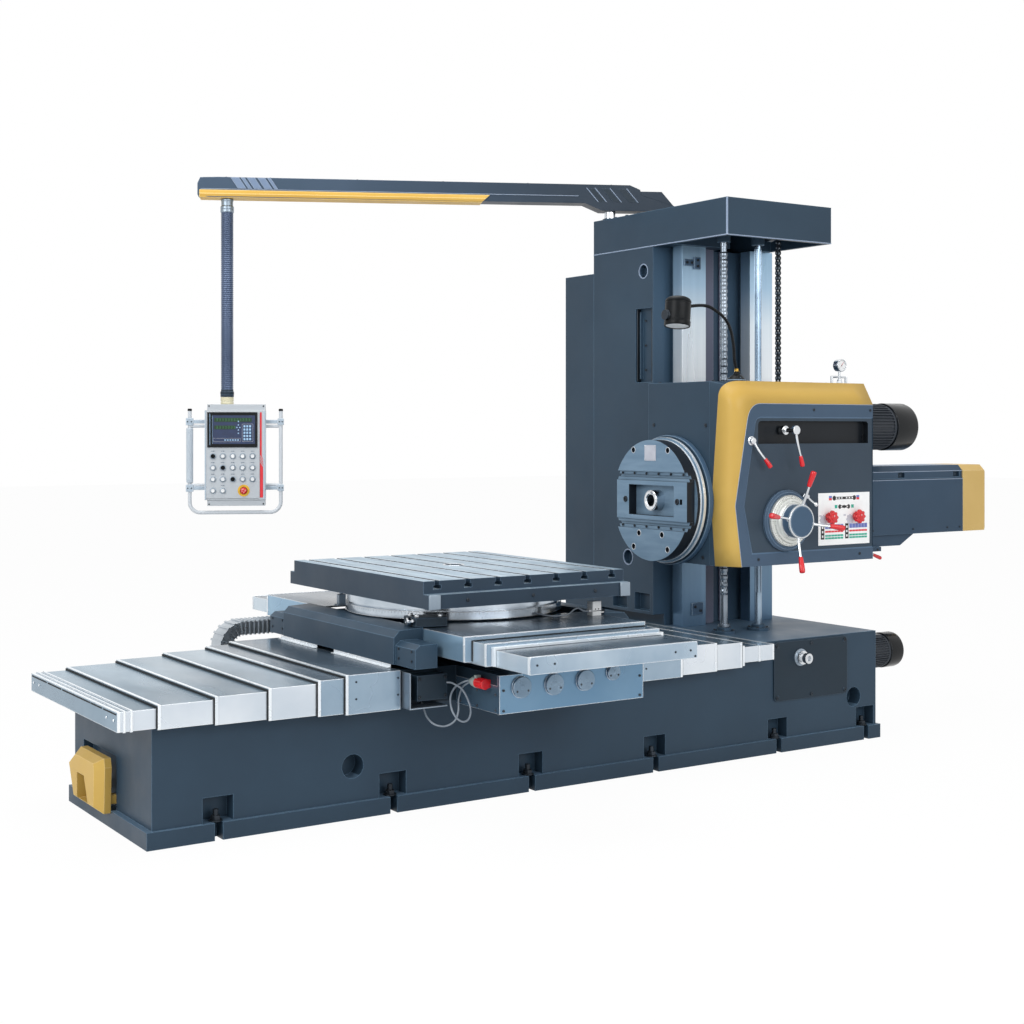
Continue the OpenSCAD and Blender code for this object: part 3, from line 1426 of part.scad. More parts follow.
// Selector with a raised handle bar
module selector(i) {
    p = selector_places[i];
    face = -pendant_d / 2 - 6;
    color(black) pendant_place() {
        pendant_key(p, button_r + 1, 8, 7, slide_gap);
        block([p[0] - 4, face - 20, p[1] - button_r], [p[0] + 4, face - 8, p[1] + button_r]);
    }
}

module mode_selector() {
    selector(0);
}

module axis_selector() {
    selector(1);
}

module speed_selector() {
    selector(2);
}

module emergency_stop() {
    color(red) pendant_place() {
        pendant_key(stop_place, 19, 16, 9, 8);
    }
}

// Tubular guard frame round the pendant, with its grip
module pendant_frame() {
    w0 = -pendant_w / 2 - 88;
    w1 = pendant_w / 2 + 86;
    z0 = pendant_floor + 12;
    z1 = 1810;
    r = 11;
    bend = 60;
    color(white) pendant_place() {
        bar_z(w0, 0, z0 + bend, z1, r);
        bar_z(w1, 0, z0 + bend, z1, r);
        bar_x(w0 + bend, w1 - bend, 0, z0, r);
        for (c = [[w0 + bend, 180], [w1 - bend, 270]]) translate([c[0], 0, z0 + bend])
            rotate([90, 0, 0]) rotate([0, 0, c[1]]) rotate_extrude(angle = 90)
            translate([bend, 0]) circle(r);
        bar_z(w0, 0, 1400, 1700, 17);
        for (z = [1380, 1720]) {
            bar_x(w0, -pendant_w / 2, 0, z, 9);
            bar_x(pendant_w / 2, w1, 0, z, 9);
        }
    }
}

bed();
lifting_bracket();
feed_gearbox_cover();
bed_feed_motor();
column();
column_guideways();
column_cap();
column_rear_box();
fixed_bed_covers();
left_cover_2();
left_cover_3();
left_cover_4();
right_cover_2();
right_cover_3();
saddle_covers();
saddle();
saddle_gearbox();
saddle_cable_plugs();
cable_carrier();
front_cover_2();
cross_slide_covers();
cross_slide();
table_bearing_ring();
rotary_table();
limit_switch();
crank_shaft();
bed_leadscrew();
cross_leadscrew();
vertical_leadscrew();
splined_feed_shaft();
chain_sprocket();
counterweight_chain();
counterweight();
headstock();
headstock_trim();
control_panel();
faceplate();
facing_slide();
boring_spindle();
spindle_motor();
tail_housing();
tail_end_cap();
capstan();
speed_lever_left();
speed_lever_right();
feed_lever_small();
star_knob_left();
star_knob_right();
lower_lever();
pressure_gauge();
work_lamp();
boom_arm();
conduit();
pendant_box();
pendant_frame();
push_buttons();
mode_selector();
axis_selector();
speed_selector();
emergency_stop();
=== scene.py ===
# %% [markdown]
# # Horizontal boring machine
# A long cast bed carries a saddle, a cross slide and a rotary table. A column carries the
# headstock with its facing head and spindle. A boom on the column holds the control pendant.
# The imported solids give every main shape, so this script adds finishes and fine pieces to them.

# %% Load the frame
import math

import bmesh
import bpy
from mathutils import Matrix, Vector


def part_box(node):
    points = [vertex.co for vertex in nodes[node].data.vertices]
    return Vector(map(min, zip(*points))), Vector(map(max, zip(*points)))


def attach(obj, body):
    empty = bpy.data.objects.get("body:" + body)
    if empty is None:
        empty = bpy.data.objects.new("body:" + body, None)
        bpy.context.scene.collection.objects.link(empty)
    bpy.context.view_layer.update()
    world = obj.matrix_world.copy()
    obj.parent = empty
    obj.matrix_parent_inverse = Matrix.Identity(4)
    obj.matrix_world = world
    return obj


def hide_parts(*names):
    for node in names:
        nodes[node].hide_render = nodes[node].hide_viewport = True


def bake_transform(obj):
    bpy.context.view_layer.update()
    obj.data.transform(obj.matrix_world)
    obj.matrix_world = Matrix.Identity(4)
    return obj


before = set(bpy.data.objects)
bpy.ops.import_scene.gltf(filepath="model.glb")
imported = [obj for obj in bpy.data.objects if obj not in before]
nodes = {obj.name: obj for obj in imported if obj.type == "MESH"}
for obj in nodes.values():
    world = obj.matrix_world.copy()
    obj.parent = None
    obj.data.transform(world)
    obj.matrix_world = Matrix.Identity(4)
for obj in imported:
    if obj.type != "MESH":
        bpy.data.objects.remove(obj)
scene = bpy.context.scene
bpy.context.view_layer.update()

# %% [markdown]
# ## Camera
# The photograph was taken from the front left at about eye height, with a level camera. A level
# camera keeps uprights upright, and a small shift moves the picture down without tilting.

# %% Place the camera
EYE = Vector((-4.267, -6.479, 1.700))
LOOK = Vector((0.5496, 0.8354, 0.0))


def show(name, data, place, direction):
    """Adds a camera or a lamp at place that faces along direction."""
    obj = bpy.data.objects.new(name, data)
    obj.location = place
    obj.rotation_euler = direction.to_track_quat("-Z", "Y").to_euler()
    scene.collection.objects.link(obj)
    return obj


camera_data = bpy.data.cameras.new("camera")
camera_data.lens = 53.94
camera_data.sensor_width = 36.0
camera_data.shift_y = -0.0804
scene.camera = show("camera", camera_data, EYE, LOOK)
print("camera looks along", [round(v, 3) for v in LOOK])

# %% [markdown]
# ## Studio
# Product photographs of machines are lit by large soft boxes on white. The world gives the even
# light, and it shows pure white only to the camera and in reflections, so the light on the
# machine stays level.

# %% Make the world, the floor and the lamps
scene.view_settings.view_transform = "Standard"
WORLD_LIGHT = 0.42
FLOOR_REACH = 40.0


def add_node(tree, kind, *inputs, **options):
    """Adds a shader node, and fills its inputs with values or with other nodes' outputs."""
    node = tree.nodes.new("ShaderNode" + kind)
    for option, value in options.items():
        setattr(node, option, value)
    for socket, value in inputs:
        if isinstance(value, bpy.types.NodeSocket):
            tree.links.new(value, node.inputs[socket])
        else:
            node.inputs[socket].default_value = value
    return node


def reckon(tree, operation, first, second):
    """One sum on two values."""
    return add_node(tree, "Math", (0, first), (1, second), operation=operation).outputs[0]


def white_for_rays(tree, dull):
    """Gives 1 for camera, glossy and transmission rays, and dull for the rest."""
    path = add_node(tree, "LightPath").outputs
    seen = reckon(tree, "MAXIMUM", path["Is Camera Ray"], path["Is Glossy Ray"])
    seen = reckon(tree, "MAXIMUM", seen, path["Is Transmission Ray"])
    return add_node(tree, "MapRange", ("Value", seen), ("To Min", dull)).outputs["Result"]


world = bpy.data.worlds.new("studio")
world.use_nodes = True
scene.world = world
background = world.node_tree.nodes["Background"]
background.inputs["Color"].default_value = (1.0, 1.0, 1.0, 1.0)
strength = white_for_rays(world.node_tree, WORLD_LIGHT)
world.node_tree.links.new(strength, background.inputs["Strength"])


def make_floor(size):
    """A pale floor that shows white and keeps a faint shadow."""
    mesh = bpy.data.meshes.new("floor")
    corners = [(-size, -size, 0), (size, -size, 0), (size, size, 0), (-size, size, 0)]
    mesh.from_pydata(corners, [], [(0, 1, 2, 3)])
    material = bpy.data.materials.new("floor_white")
    material.use_nodes = True
    tree = material.node_tree
    tree.nodes.clear()
    matt = add_node(tree, "BsdfDiffuse", ("Color", (0.86, 0.87, 0.88, 1.0)))
    glow = add_node(tree, "Emission")
    part = reckon(tree, "MULTIPLY", white_for_rays(tree, 0.0), 0.97)
    blend = add_node(tree, "MixShader", ("Fac", part), (1, matt.outputs[0]), (2, glow.outputs[0]))
    add_node(tree, "OutputMaterial", ("Surface", blend.outputs[0]))
    mesh.materials.append(material)
    floor = bpy.data.objects.new("floor", mesh)
    scene.collection.objects.link(floor)


make_floor(FLOOR_REACH)
LAMPS = (("key_left", (-8.5, -2.5, 5.2), (0.0, 0.0, 1.0), (5.0, 4.0), 430),
         ("front_fill", (1.0, -9.0, 4.2), (0.8, 0.0, 1.2), (7.0, 3.5), 320),
         ("top_light", (0.0, 0.5, 7.5), (0.2, 0.0, 0.8), (7.0, 4.0), 340))
for name, place, target, (width, height), power in LAMPS:
    lamp = bpy.data.lights.new(name, "AREA")
    lamp.shape = "RECTANGLE"
    lamp.size = width
    lamp.size_y = height
    lamp.energy = power
    show(name, lamp, place, Vector(target) - Vector(place))
print("studio: floor,", len(bpy.data.lights), "lamps")

# %% [markdown]
# ## Mesh helpers
# Every added piece comes from four kinds of shape: a block, a turned part, a bent round bar and
# an outline with thickness. Each helper adds its shape to one bmesh, so that a row of screws can
# be one piece.

# %% Define the shapes
UP = Vector((0.0, 0.0, 1.0))
FORWARD = Vector((0.0, -1.0, 0.0))
LEFT = Vector((-1.0, 0.0, 0.0))
RIGHT = Vector((1.0, 0.0, 0.0))
BACK = Vector((0.0, 1.0, 0.0))
STILL = Matrix.Identity(4)
ALONG_X = Matrix(((0, 0, 1, 0), (1, 0, 0, 0), (0, 1, 0, 0), (0, 0, 0, 1)))
ALONG_Y = Matrix(((1, 0, 0, 0), (0, 0, -1, 0), (0, 1, 0, 0), (0, 0, 0, 1)))


def mm(*values):
    """Turns millimetres into metres."""
    return Vector([v / 1000 for v in values])


def pairs(points):
    """Turns pairs in millimetres into pairs in metres."""
    return [(a / 1000, b / 1000) for a, b in points]


def place_at(origin, direction=UP):
    """A matrix whose local Z points along direction, at origin."""
    turn = Vector(direction).to_track_quat("Z", "Y").to_matrix().to_4x4()
    return Matrix.Translation(Vector(origin)) @ turn


def facing_front(y):
    """Puts an outline's local XY in the plane of the front at y mm, so that it grows forward."""
    return Matrix.Translation(mm(0, y, 0)) @ ALONG_Y


def spin(place, degrees):
    """Turns a place about its own Z."""
    return place @ Matrix.Rotation(math.radians(degrees), 4, "Z")


def add_block(bm, low, high, place=STILL):
    """Adds a block between two corners."""
    v = [bm.verts.new(place @ Vector((x, y, z))) for x in (low[0], high[0])
         for y in (low[1], high[1]) for z in (low[2], high[2])]
    for a, b, c, d in ((0, 1, 3, 2), (4, 6, 7, 5), (0, 4, 5, 1), (2, 3, 7, 6), (0, 2, 6, 4),
                       (1, 5, 7, 3)):
        bm.faces.new((v[a], v[b], v[c], v[d]))


def close_rows(bm, low, high):
    """Adds quads between two closed rows of corners, or a fan where one is a single corner."""
    count = max(len(low), len(high))
    for i in range(count):
        j = (i + 1) % count
        if len(low) == 1:
            bm.faces.new((low[0], high[i], high[j]))
        elif len(high) == 1:
            bm.faces.new((low[i], high[0], low[j]))
        else:
            bm.faces.new((low[i], high[i], high[j], low[j]))


def circle(radius, steps):
    """Corners of a circle, or its centre where the radius is 0."""
    if radius < 1e-6:
        return [(0.0, 0.0)]
    return [(radius * math.cos(math.tau * i / steps), radius * math.sin(math.tau * i / steps))
            for i in range(steps)]


def add_turned(bm, profile, place=STILL, steps=40):
    """Turns a profile of (radius, height) pairs about local Z; radius 0 closes it."""
    rings = [[bm.verts.new(place @ Vector((x, y, height))) for x, y in circle(radius, steps)]
             for radius, height in profile]
    for low, high in zip(rings, rings[1:]):
        if len(low) > 1 or len(high) > 1:
            close_rows(bm, low, high)


def add_bar(bm, start, end, radius, steps=20, edge=0.2):
    """Adds a round bar from start to end with broken edges."""
    start = Vector(start)
    end = Vector(end)
    length = (end - start).length
    cut = radius * edge
    profile = [(0, 0), (radius - cut, 0), (radius, cut), (radius, length - cut),
               (radius - cut, length), (0, length)]
    add_turned(bm, profile, place_at(start, end - start), steps)


def eased(points, parts=6):
    """A smooth curve through the points, as a list of vectors."""
    pts = [Vector(p) for p in points]
    out = []
    for i in range(len(pts) - 1):
        a = pts[max(i - 1, 0)]
        b = pts[i]
        c = pts[i + 1]
        d = pts[min(i + 2, len(pts) - 1)]
        for k in range(parts):
            t = k / parts
            out.append(b + t * (c - a) / 2 + t * t * (a - 2.5 * b + 2 * c - 0.5 * d)
                       + t * t * t * (1.5 * b - 0.5 * a - 1.5 * c + 0.5 * d))
    out.append(pts[-1])
    return out


def add_tube(bm, points, radius, sides=12):
    """Sweeps a circle along the points; radius is a function of the way along."""
    turn = before = last = None
    count = len(points)
    for i, spot in enumerate(points):
        ahead = (points[min(i + 1, count - 1)] - points[max(i - 1, 0)]).normalized()
        if turn is None:
            turn = ahead.to_track_quat("Z", "Y").to_matrix()
        else:
            turn = before.rotation_difference(ahead).to_matrix() @ turn
        ring = [bm.verts.new(spot + turn @ Vector((x, y, 0)))
                for x, y in circle(radius(i / (count - 1)), sides)]
        if last is None:
            bm.faces.new(list(reversed(ring)))
        else:
            close_rows(bm, last, ring)
        before = ahead
        last = ring
    bm.faces.new(last)


def add_outline(bm, outline, thickness, place=STILL):
    """Adds a flat outline, given as local XY pairs, with thickness along local Z."""
    low = [bm.verts.new(place @ Vector((x, y, 0))) for x, y in outline]
    high = [bm.verts.new(place @ Vector((x, y, thickness))) for x, y in outline]
    bm.faces.new(list(reversed(low)))
    bm.faces.new(high)
    close_rows(bm, low, high)


print("shapes: block, turned part, bar, tube, outline")

# %% [markdown]
# A piece is a list of such shapes in one mesh. The makers below wait with their numbers, in
# millimetres, until the piece that they belong to calls them. A real bevel on the edges catches
# the light as a broken edge does. The finishes are kept by name in a table of their own, because
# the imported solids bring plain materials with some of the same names.

# %% Define the makers and the piece
finishes = {}


def blocks(*boxes, place=STILL):
    """Blocks, each given by its low corner and its high corner as six numbers in mm."""
    return lambda bm: [add_block(bm, mm(*box[:3]), mm(*box[3:]), place) for box in boxes]


def turned(profile, place, steps=40):
    """One turned shape from a profile in mm."""
    return lambda bm: add_turned(bm, pairs(profile), place, steps)


def bar(start, end, radius, steps=20):
    """One round bar in mm."""
    return lambda bm: add_bar(bm, mm(*start), mm(*end), radius / 1000, steps)


def flat(outline, thickness, place=STILL):
    """One outline with thickness, in mm."""
    return lambda bm: add_outline(bm, pairs(outline), thickness / 1000, place)


def screws(direction, radius, height, spots, frame_of=STILL):
    """Socket head screws in mm that stand on a face at the spots."""
    profile = [(0, 0), (radius, 0), (radius, height * 0.8), (radius * 0.85, height),
               (radius * 0.5, height), (radius * 0.5, height * 0.4), (0, height * 0.4)]
    return lambda bm: [add_turned(bm, pairs(profile), place_at(frame_of @ mm(*s), direction), 16)
                       for s in spots]


def grid(*rows):
    """Every combination of the values in the rows."""
    spots = [()]
    for row in rows:
        spots = [spot + (value,) for spot in spots for value in row]
    return spots


def around(x, y, z, reach, turned_by, count, flat_on="z"):
    """Spots on a circle about a centre, in mm, level or in the plane of the front."""
    spots = []
    for k in range(count):
        angle = math.radians(turned_by + 360 * k / count)
        a, b = reach * math.cos(angle), reach * math.sin(angle)
        spots.append((x + a, y + b, z) if flat_on == "z" else (x + a, y, z + b))
    return spots


def piece(name, material, body, *shapes, bevel=0.0, angle=35, instead_of=None):
    """Makes one object of the shapes. It rides on a body, unless body is None."""
    bm = bmesh.new()
    for shape in shapes:
        shape(bm)
    bmesh.ops.recalc_face_normals(bm, faces=bm.faces)
    mesh = bpy.data.meshes.new(name)
    bm.to_mesh(mesh)
    bm.free()
    mesh.materials.append(finishes[material])
    mesh.polygons.foreach_set("use_smooth", [True] * len(mesh.polygons))
    mesh.set_sharp_from_angle(angle=math.radians(angle))
    obj = bpy.data.objects.new(name, mesh)
    scene.collection.objects.link(obj)
    if bevel > 0:
        edge = obj.modifiers.new("broken_edge", "BEVEL")
        edge.width = bevel / 1000
        edge.segments = 2
        edge.limit_method = "ANGLE"
        edge.angle_limit = math.radians(40)
    if body:
        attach(obj, body)
    if instead_of:
        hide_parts(instead_of)
    return obj


print("makers ready")

# %% [markdown]
# ## Finish helpers
# A machine finish is never one flat colour. Paint has a fine orange peel and a little change of
# tone, sheet steel has long brush marks and oily streaks, and turned steel has fine rings. Each
# helper adds one such effect from noise in the object's own space.

# %% Define the finish helpers
EVEN = (1.0, 1.0, 1.0)


def tone(code):
    """Turns a #rrggbb colour into the linear values that a shader takes."""
    values = [int(code[i:i + 2], 16) / 255 for i in (1, 3, 5)]
    linear = [v / 12.92 if v <= 0.04045 else ((v + 0.055) / 1.055) ** 2.4 for v in values]
    return (*linear, 1.0)


def new_finish(name, colour, rough, metal=0.0, coat=0.0, specular=0.5):
    """A material with one principled shader, kept under its name."""
    material = finishes[name] = bpy.data.materials.new(name)
    material.use_nodes = True
    values = {"Base Color": tone(colour), "Roughness": rough, "Metallic": metal,
              "Coat Weight": coat, "Coat Roughness": 0.15, "Specular IOR Level": specular}
    shader = material.node_tree.nodes["Principled BSDF"]
    for socket, value in values.items():
        shader.inputs[socket].default_value = value
    material.diffuse_color = tone(colour)
    return material.node_tree


def finish_with(tree, socket, value):
    """Feeds one of the shader's inputs."""
    tree.links.new(value, tree.nodes["Principled BSDF"].inputs[socket])


def colour_of(tree):
    """What the shader's base colour is fed with now."""
    socket = tree.nodes["Principled BSDF"].inputs["Base Color"]
    return socket.links[0].from_socket if socket.is_linked else tuple(socket.default_value)


def own_space(tree, stretch=EVEN, output="Object"):
    """The object's own coordinates, stretched."""
    coord = add_node(tree, "TexCoord").outputs[output]
    return add_node(tree, "Mapping", ("Vector", coord), ("Scale", stretch)).outputs["Vector"]


def own_axis(tree, axis, output="Object"):
    """One coordinate, or one part of the normal, in the object's own space."""
    return add_node(tree, "SeparateXYZ", (0, own_space(tree, output=output))).outputs[axis]


def noise(tree, scale, detail=3.0, stretch=EVEN):
    """A noise value in the object's own space."""
    return add_node(tree, "TexNoise", ("Scale", scale), ("Detail", detail), ("Roughness", 0.55),
                    ("Vector", own_space(tree, stretch))).outputs["Fac"]


def ramp(tree, value, stops):
    """Maps a value to a row of colours."""
    node = add_node(tree, "ValToRGB", ("Fac", value))
    while len(node.color_ramp.elements) < len(stops):
        node.color_ramp.elements.new(0.5)
    for element, (position, code) in zip(node.color_ramp.elements, stops):
        element.position = position
        element.color = tone(code)
    return node.outputs["Color"]


def cloudy(tree, colours, scale, detail=4.0, stretch=EVEN, start=0.3, end=0.7):
    """A colour that wanders between two tones."""
    return ramp(tree, noise(tree, scale, detail, stretch), ((start, colours[0]), (end, colours[1])))


def add_gloss_change(tree, low, high, scale, stretch=EVEN):
    """Lets the roughness wander, as oil and handling do."""
    span = add_node(tree, "MapRange", ("From Min", 0.3), ("From Max", 0.7), ("To Min", low),
                    ("To Max", high), ("Value", noise(tree, scale, 3.0, stretch)))
    finish_with(tree, "Roughness", span.outputs["Result"])


def rounded(tree, reach):
    """A normal that is rounded near sharp edges, over reach metres."""
    return add_node(tree, "Bevel", ("Radius", reach), samples=4).outputs["Normal"]


def add_relief(tree, scale, strength, height, stretch=EVEN, edge=0.003):
    """Adds a fine relief from noise, and rounds the look of sharp edges by edge metres."""
    bump = add_node(tree, "Bump", ("Strength", strength), ("Distance", height),
                    ("Height", noise(tree, scale, 2.0, stretch)), ("Normal", rounded(tree, edge)))
    finish_with(tree, "Normal", bump.outputs["Normal"])


def mix_colours(tree, factor, first, second, way="MIX"):
    """Mixes two colours, given as outputs or as linear values."""
    return add_node(tree, "Mix", (6, first), (7, second), (0, factor), data_type="RGBA",
                    blend_type=way).outputs[2]


def where(tree, value, limit, above=True):
    """Gives 1 where the value is above the limit, or below it."""
    return reckon(tree, "GREATER_THAN" if above else "LESS_THAN", value, limit)


def faces_to(tree, axis, limit):
    """Gives 1 on faces that point along one axis beyond the limit."""
    return where(tree, own_axis(tree, axis, "Normal"), limit, above=limit > 0)


def edge_wear_and_highlight(tree, pale, reach=0.004):
    """Lightens the base colour along sharp edges: partly wear, where paint thins and steel is
    rubbed bright, and partly a painted highlight where edges catch the light.
    """
    true = add_node(tree, "NewGeometry").outputs["Normal"]
    dot = add_node(tree, "VectorMath", (0, rounded(tree, reach)), (1, true),
                   operation="DOT_PRODUCT")
    mask = where(tree, dot.outputs["Value"], 0.985, above=False)
    finish_with(tree, "Base Color", mix_colours(tree, mask, colour_of(tree), tone(pale)))


print("finish helpers ready")

# %% [markdown]
# ## Paint
# The castings are filled, sanded and sprayed with a two pack paint in dark slate blue, with the
# trim in mustard yellow. The paint is half gloss, so it gets a thin coat, a fine orange peel and
# paler edges, which are partly wear and partly a painted highlight.

# %% Make the paints


def machine_paint(name, dark, light, edge_wear_highlight_tone=None, rough=0.42):
    """Half gloss machine paint with orange peel."""
    tree = new_finish(name, light, rough, coat=0.04, specular=0.2)
    finish_with(tree, "Base Color", cloudy(tree, (dark, light), 1.6))
    add_gloss_change(tree, rough - 0.05, rough + 0.08, 5.0)
    add_relief(tree, 420.0, 0.12, 0.0006, edge=0.004)
    if edge_wear_highlight_tone:
        edge_wear_and_highlight(tree, edge_wear_highlight_tone)
    return tree


# The third colour of a row is its edge tone, partly wear and partly a painted highlight.
PAINTS = (
    ("blue_paint", "#2a3c4c", "#304455", "#5b7890"),
    ("dark_paint", "#1b2934", "#21303c", "#48596a"),
    # The next pale paint serves ribs, and also thin strips that are painted highlights on edges.
    ("rib_paint", "#7486a0", "#8192ab", "#aab8cb"),
    # The next paint is a lighter copy of the field paint for the recess wall, a painted highlight.
    ("panel_rim_paint", "#3d5064", "#475b71", "#8299b0"),
    ("panel_wall_paint", "#4f667e", "#5a728a", "#8da3b8"),
    ("panel_field_paint", "#33404d", "#3a4957", "#5f7185"),
    # The next paint is near black for the deep slot, which is painted shade.
    ("slot_black_paint", "#14181d", "#1c2127", None, 0.3),
    ("hub_blue_paint", "#3d546b", "#476079", "#8aa0b5", 0.3),
    ("mustard_paint", "#c39f50", "#cdab5b", "#e8ce90"),
    ("pale_mustard_paint", "#ccac6a", "#d4b574", "#ecd8a6"),
    ("black_paint", "#33383f", "#40454d", "#4a5058", 0.35),
    ("black_gloss_paint", "#0e1013", "#15181b", "#30363c", 0.18),
    ("white_coat", "#b3b9bf", "#bdc3c8", "#d3d7da", 0.4),
    ("tube_white_coat", "#c3c9cf", "#cfd4d9", "#e4e8ea", 0.3),
    ("grey_coat", "#a3b3c1", "#b2c0cc", "#d3dbe2", 0.4),
    # The next paint is a lighter copy of the mustard for the boom's moulding, which is painted
    # light.
    ("moulding_gold_paint", "#d8ab50", "#e3b95f", "#f2dc9e"),
    ("strip_grey_paint", "#656a7d", "#70758a", "#9a9fb2"),
    ("cream_coat", "#c9c3a4", "#d8d3b6", "#ebe7d2", 0.4),
)
for row in PAINTS:
    machine_paint(*row)
print("paints:", len(PAINTS))

# %% [markdown]
# ## Steels
# The way covers are bright sheet steel with brush marks and streaky gloss. Their sides, left ends
# and tops get their own tones for how the light falls on them, which is painted light and shade,
# and the cloudy tone on top is a painted reflection. Ground ways and turned parts are finer, and
# screws and shafts are almost mirror bright.

# %% Make the steels


def sheet_steel_lit_by_face(name, side, end, top):
    """Brushed sheet steel with light and shade painted by face: lit sides, shaded left ends and a
    painted cloudy reflection on top.
    """
    tree = new_finish(name, side[1], 0.3, metal=0.6)
    pale = cloudy(tree, side, 2.2)
    dull = cloudy(tree, end, 3.0)
    painted_top_reflection = cloudy(tree, top, 1.9, 5.0, (1.0, 0.35, 1.0), 0.36, 0.66)
    # Painted shade on faces that point left, and a painted reflection on faces that point up.
    walls = mix_colours(tree, faces_to(tree, 0, -0.8), pale, dull)
    finish_with(tree, "Base Color", mix_colours(tree, faces_to(tree, 2, 0.8), walls, painted_top_reflection))
    add_gloss_change(tree, 0.16, 0.34, 2.6, (1.0, 0.4, 1.0))
    add_relief(tree, 60.0, 0.10, 0.0008, (1.0, 14.0, 1.0))
    edge_wear_and_highlight(tree, "#f0f4f8", 0.005)


def bright_steel(name, dark, light, rough, metal=0.9, relief=0.06, stretch=EVEN):
    """Ground or turned steel with fine tool marks."""
    tree = new_finish(name, light, rough, metal=metal)
    finish_with(tree, "Base Color", cloudy(tree, (dark, light), 3.0, stretch=stretch))
    add_gloss_change(tree, rough - 0.06, rough + 0.08, 8.0, stretch)
    add_relief(tree, 150.0, relief, 0.0006, stretch, edge=0.002)
    return tree


# Each row gives a sheet's tones for its sides, its left ends and its top. These are lit, shaded and
# reflected tones painted by face, and the second row is a shaded copy for covers that sit in shade.
SHEETS = (
    ("cover_steel", ("#c6d0da", "#e0e6ec"), ("#71899b", "#869dae"), ("#5f7788", "#97adbd")),
    ("shaded_steel", ("#8299ac", "#a3b6c6"), ("#b9cad8", "#cfdbe4"), ("#3f4f5d", "#65798a")),
    ("deck_steel", ("#8299ad", "#a5b9c9"), ("#84a6c0", "#9bbbd2"), ("#3b4a57", "#62768a")),
    ("plate_steel", ("#7f97ac", "#b9c9d6"), ("#b9cad8", "#cfdbe4"), ("#90a4b4", "#b9c9d6")),
    ("gear_steel", ("#5f84a2", "#7496b1"), ("#587286", "#65819a"), ("#7990a2", "#93a8b8")),
)
STEELS = (
    ("turned_steel", "#a7b4c0", "#d6dee6", 0.16, 1.0),
    ("cap_steel", "#6a8196", "#8fa5b8", 0.30, 0.7),
    ("screw_steel", "#5c6670", "#98a2ad", 0.22), ("shaft_steel", "#76899b", "#9fb3c4", 0.2),
    ("satin_steel", "#7f8c99", "#9aa7b3", 0.36, 0.8),
    ("chrome", "#c3c8cd", "#e6e9ec", 0.10, 1.0, 0.02),
    ("dark_steel", "#23282e", "#39414a", 0.38, 0.7),
    ("hose_steel", "#8b949d", "#c9d0d6", 0.30, 0.85),
    ("conduit_steel", "#414f68", "#5f6e89", 0.34, 0.45),
    # The next steel is near white for hems, lips and thin rings; its pale tone is partly a painted
    # highlight on their edges.
    ("hem_steel", "#dbe3ea", "#f4f8fb", 0.26, 0.45),
    ("scale_steel", "#d4d6d2", "#eceee9", 0.30, 0.45),
)
for row in SHEETS:
    sheet_steel_lit_by_face(*row)
for row in STEELS:
    bright_steel(*row)
print("steels:", len(SHEETS) + len(STEELS))

# %% [markdown]
# ## Plastics, rubber and glass
# Grips are glossy red plastic, knobs and lamp are black plastic, and the wipers are black rubber.
# The screens and the gauge have dark or clear glass.

# %% Make the plastics, the rubber and the glass


def plastic(name, dark, light, rough, coat=0.3, relief=0.05, specular=0.4):
    """Moulded plastic with a fine grain."""
    tree = new_finish(name, light, rough, coat=coat, specular=specular)
    finish_with(tree, "Base Color", cloudy(tree, (dark, light), 20.0))
    add_relief(tree, 900.0, relief, 0.0003, edge=0.001)


PLASTICS = (
    ("red_plastic", "#c4171f", "#dc1f28", 0.25),
    ("black_plastic", "#0c0e10", "#15181b", 0.36, 0.0, 0.05, 0.12),
    ("white_plastic", "#d9dcdf", "#eceeef", 0.28), ("rubber", "#121416", "#1d2023", 0.75, 0.0, 0.2),
    ("screen_blue", "#16284a", "#1c3158", 0.15, 0.6, 0.0),
    ("label_white", "#eef0f1", "#f6f7f7", 0.35, 0.2, 0.0),
    ("label_black", "#101214", "#17191c", 0.35, 0.2, 0.0),
    ("label_red", "#cf2330", "#e03440", 0.35, 0.2, 0.0),
    ("label_blue", "#5564a8", "#6c7bc0", 0.35, 0.2, 0.0),
    ("label_teal", "#239b84", "#37b49c", 0.35, 0.2, 0.0),
    ("label_grey", "#b6b9c4", "#c4c7d0", 0.35, 0.1, 0.0),
    ("label_green", "#12301f", "#183a26", 0.25, 0.3, 0.0),
    ("digit_green", "#2f7d46", "#3c9355", 0.35, 0.1, 0.0),
    ("key_blue", "#8fb6d8", "#a5c7e4", 0.35, 0.2, 0.0), ("plug_grey", "#8f9a98", "#a9b4b0", 0.4),
    ("cable_grey", "#6f7984", "#858f9a", 0.45, 0.1), ("amber_plastic", "#d9a520", "#ecbc35", 0.35),
)
for row in PLASTICS:
    plastic(*row)
print("plastics:", len(PLASTICS))

# %% [markdown]
# ## Two finishes on one casting
# The table's sides are painted but its top is ground, and the facing head is bright on its face
# and dark round its rim. The normal in the object's own space tells the faces apart.

# %% Make the mixed finishes


def painted_with_ground(name, axis, limit, paint, ground, shine):
    """Paint everywhere but on faces that point along one axis beyond the limit."""
    tree = machine_paint(name, *paint)
    mask = faces_to(tree, axis, limit)
    marks = cloudy(tree, ground, 26.0, 3.0, (1.0, 0.15, 1.0))
    finish_with(tree, "Base Color", mix_colours(tree, mask, colour_of(tree), marks))
    finish_with(tree, "Metallic", reckon(tree, "MULTIPLY", mask, shine))


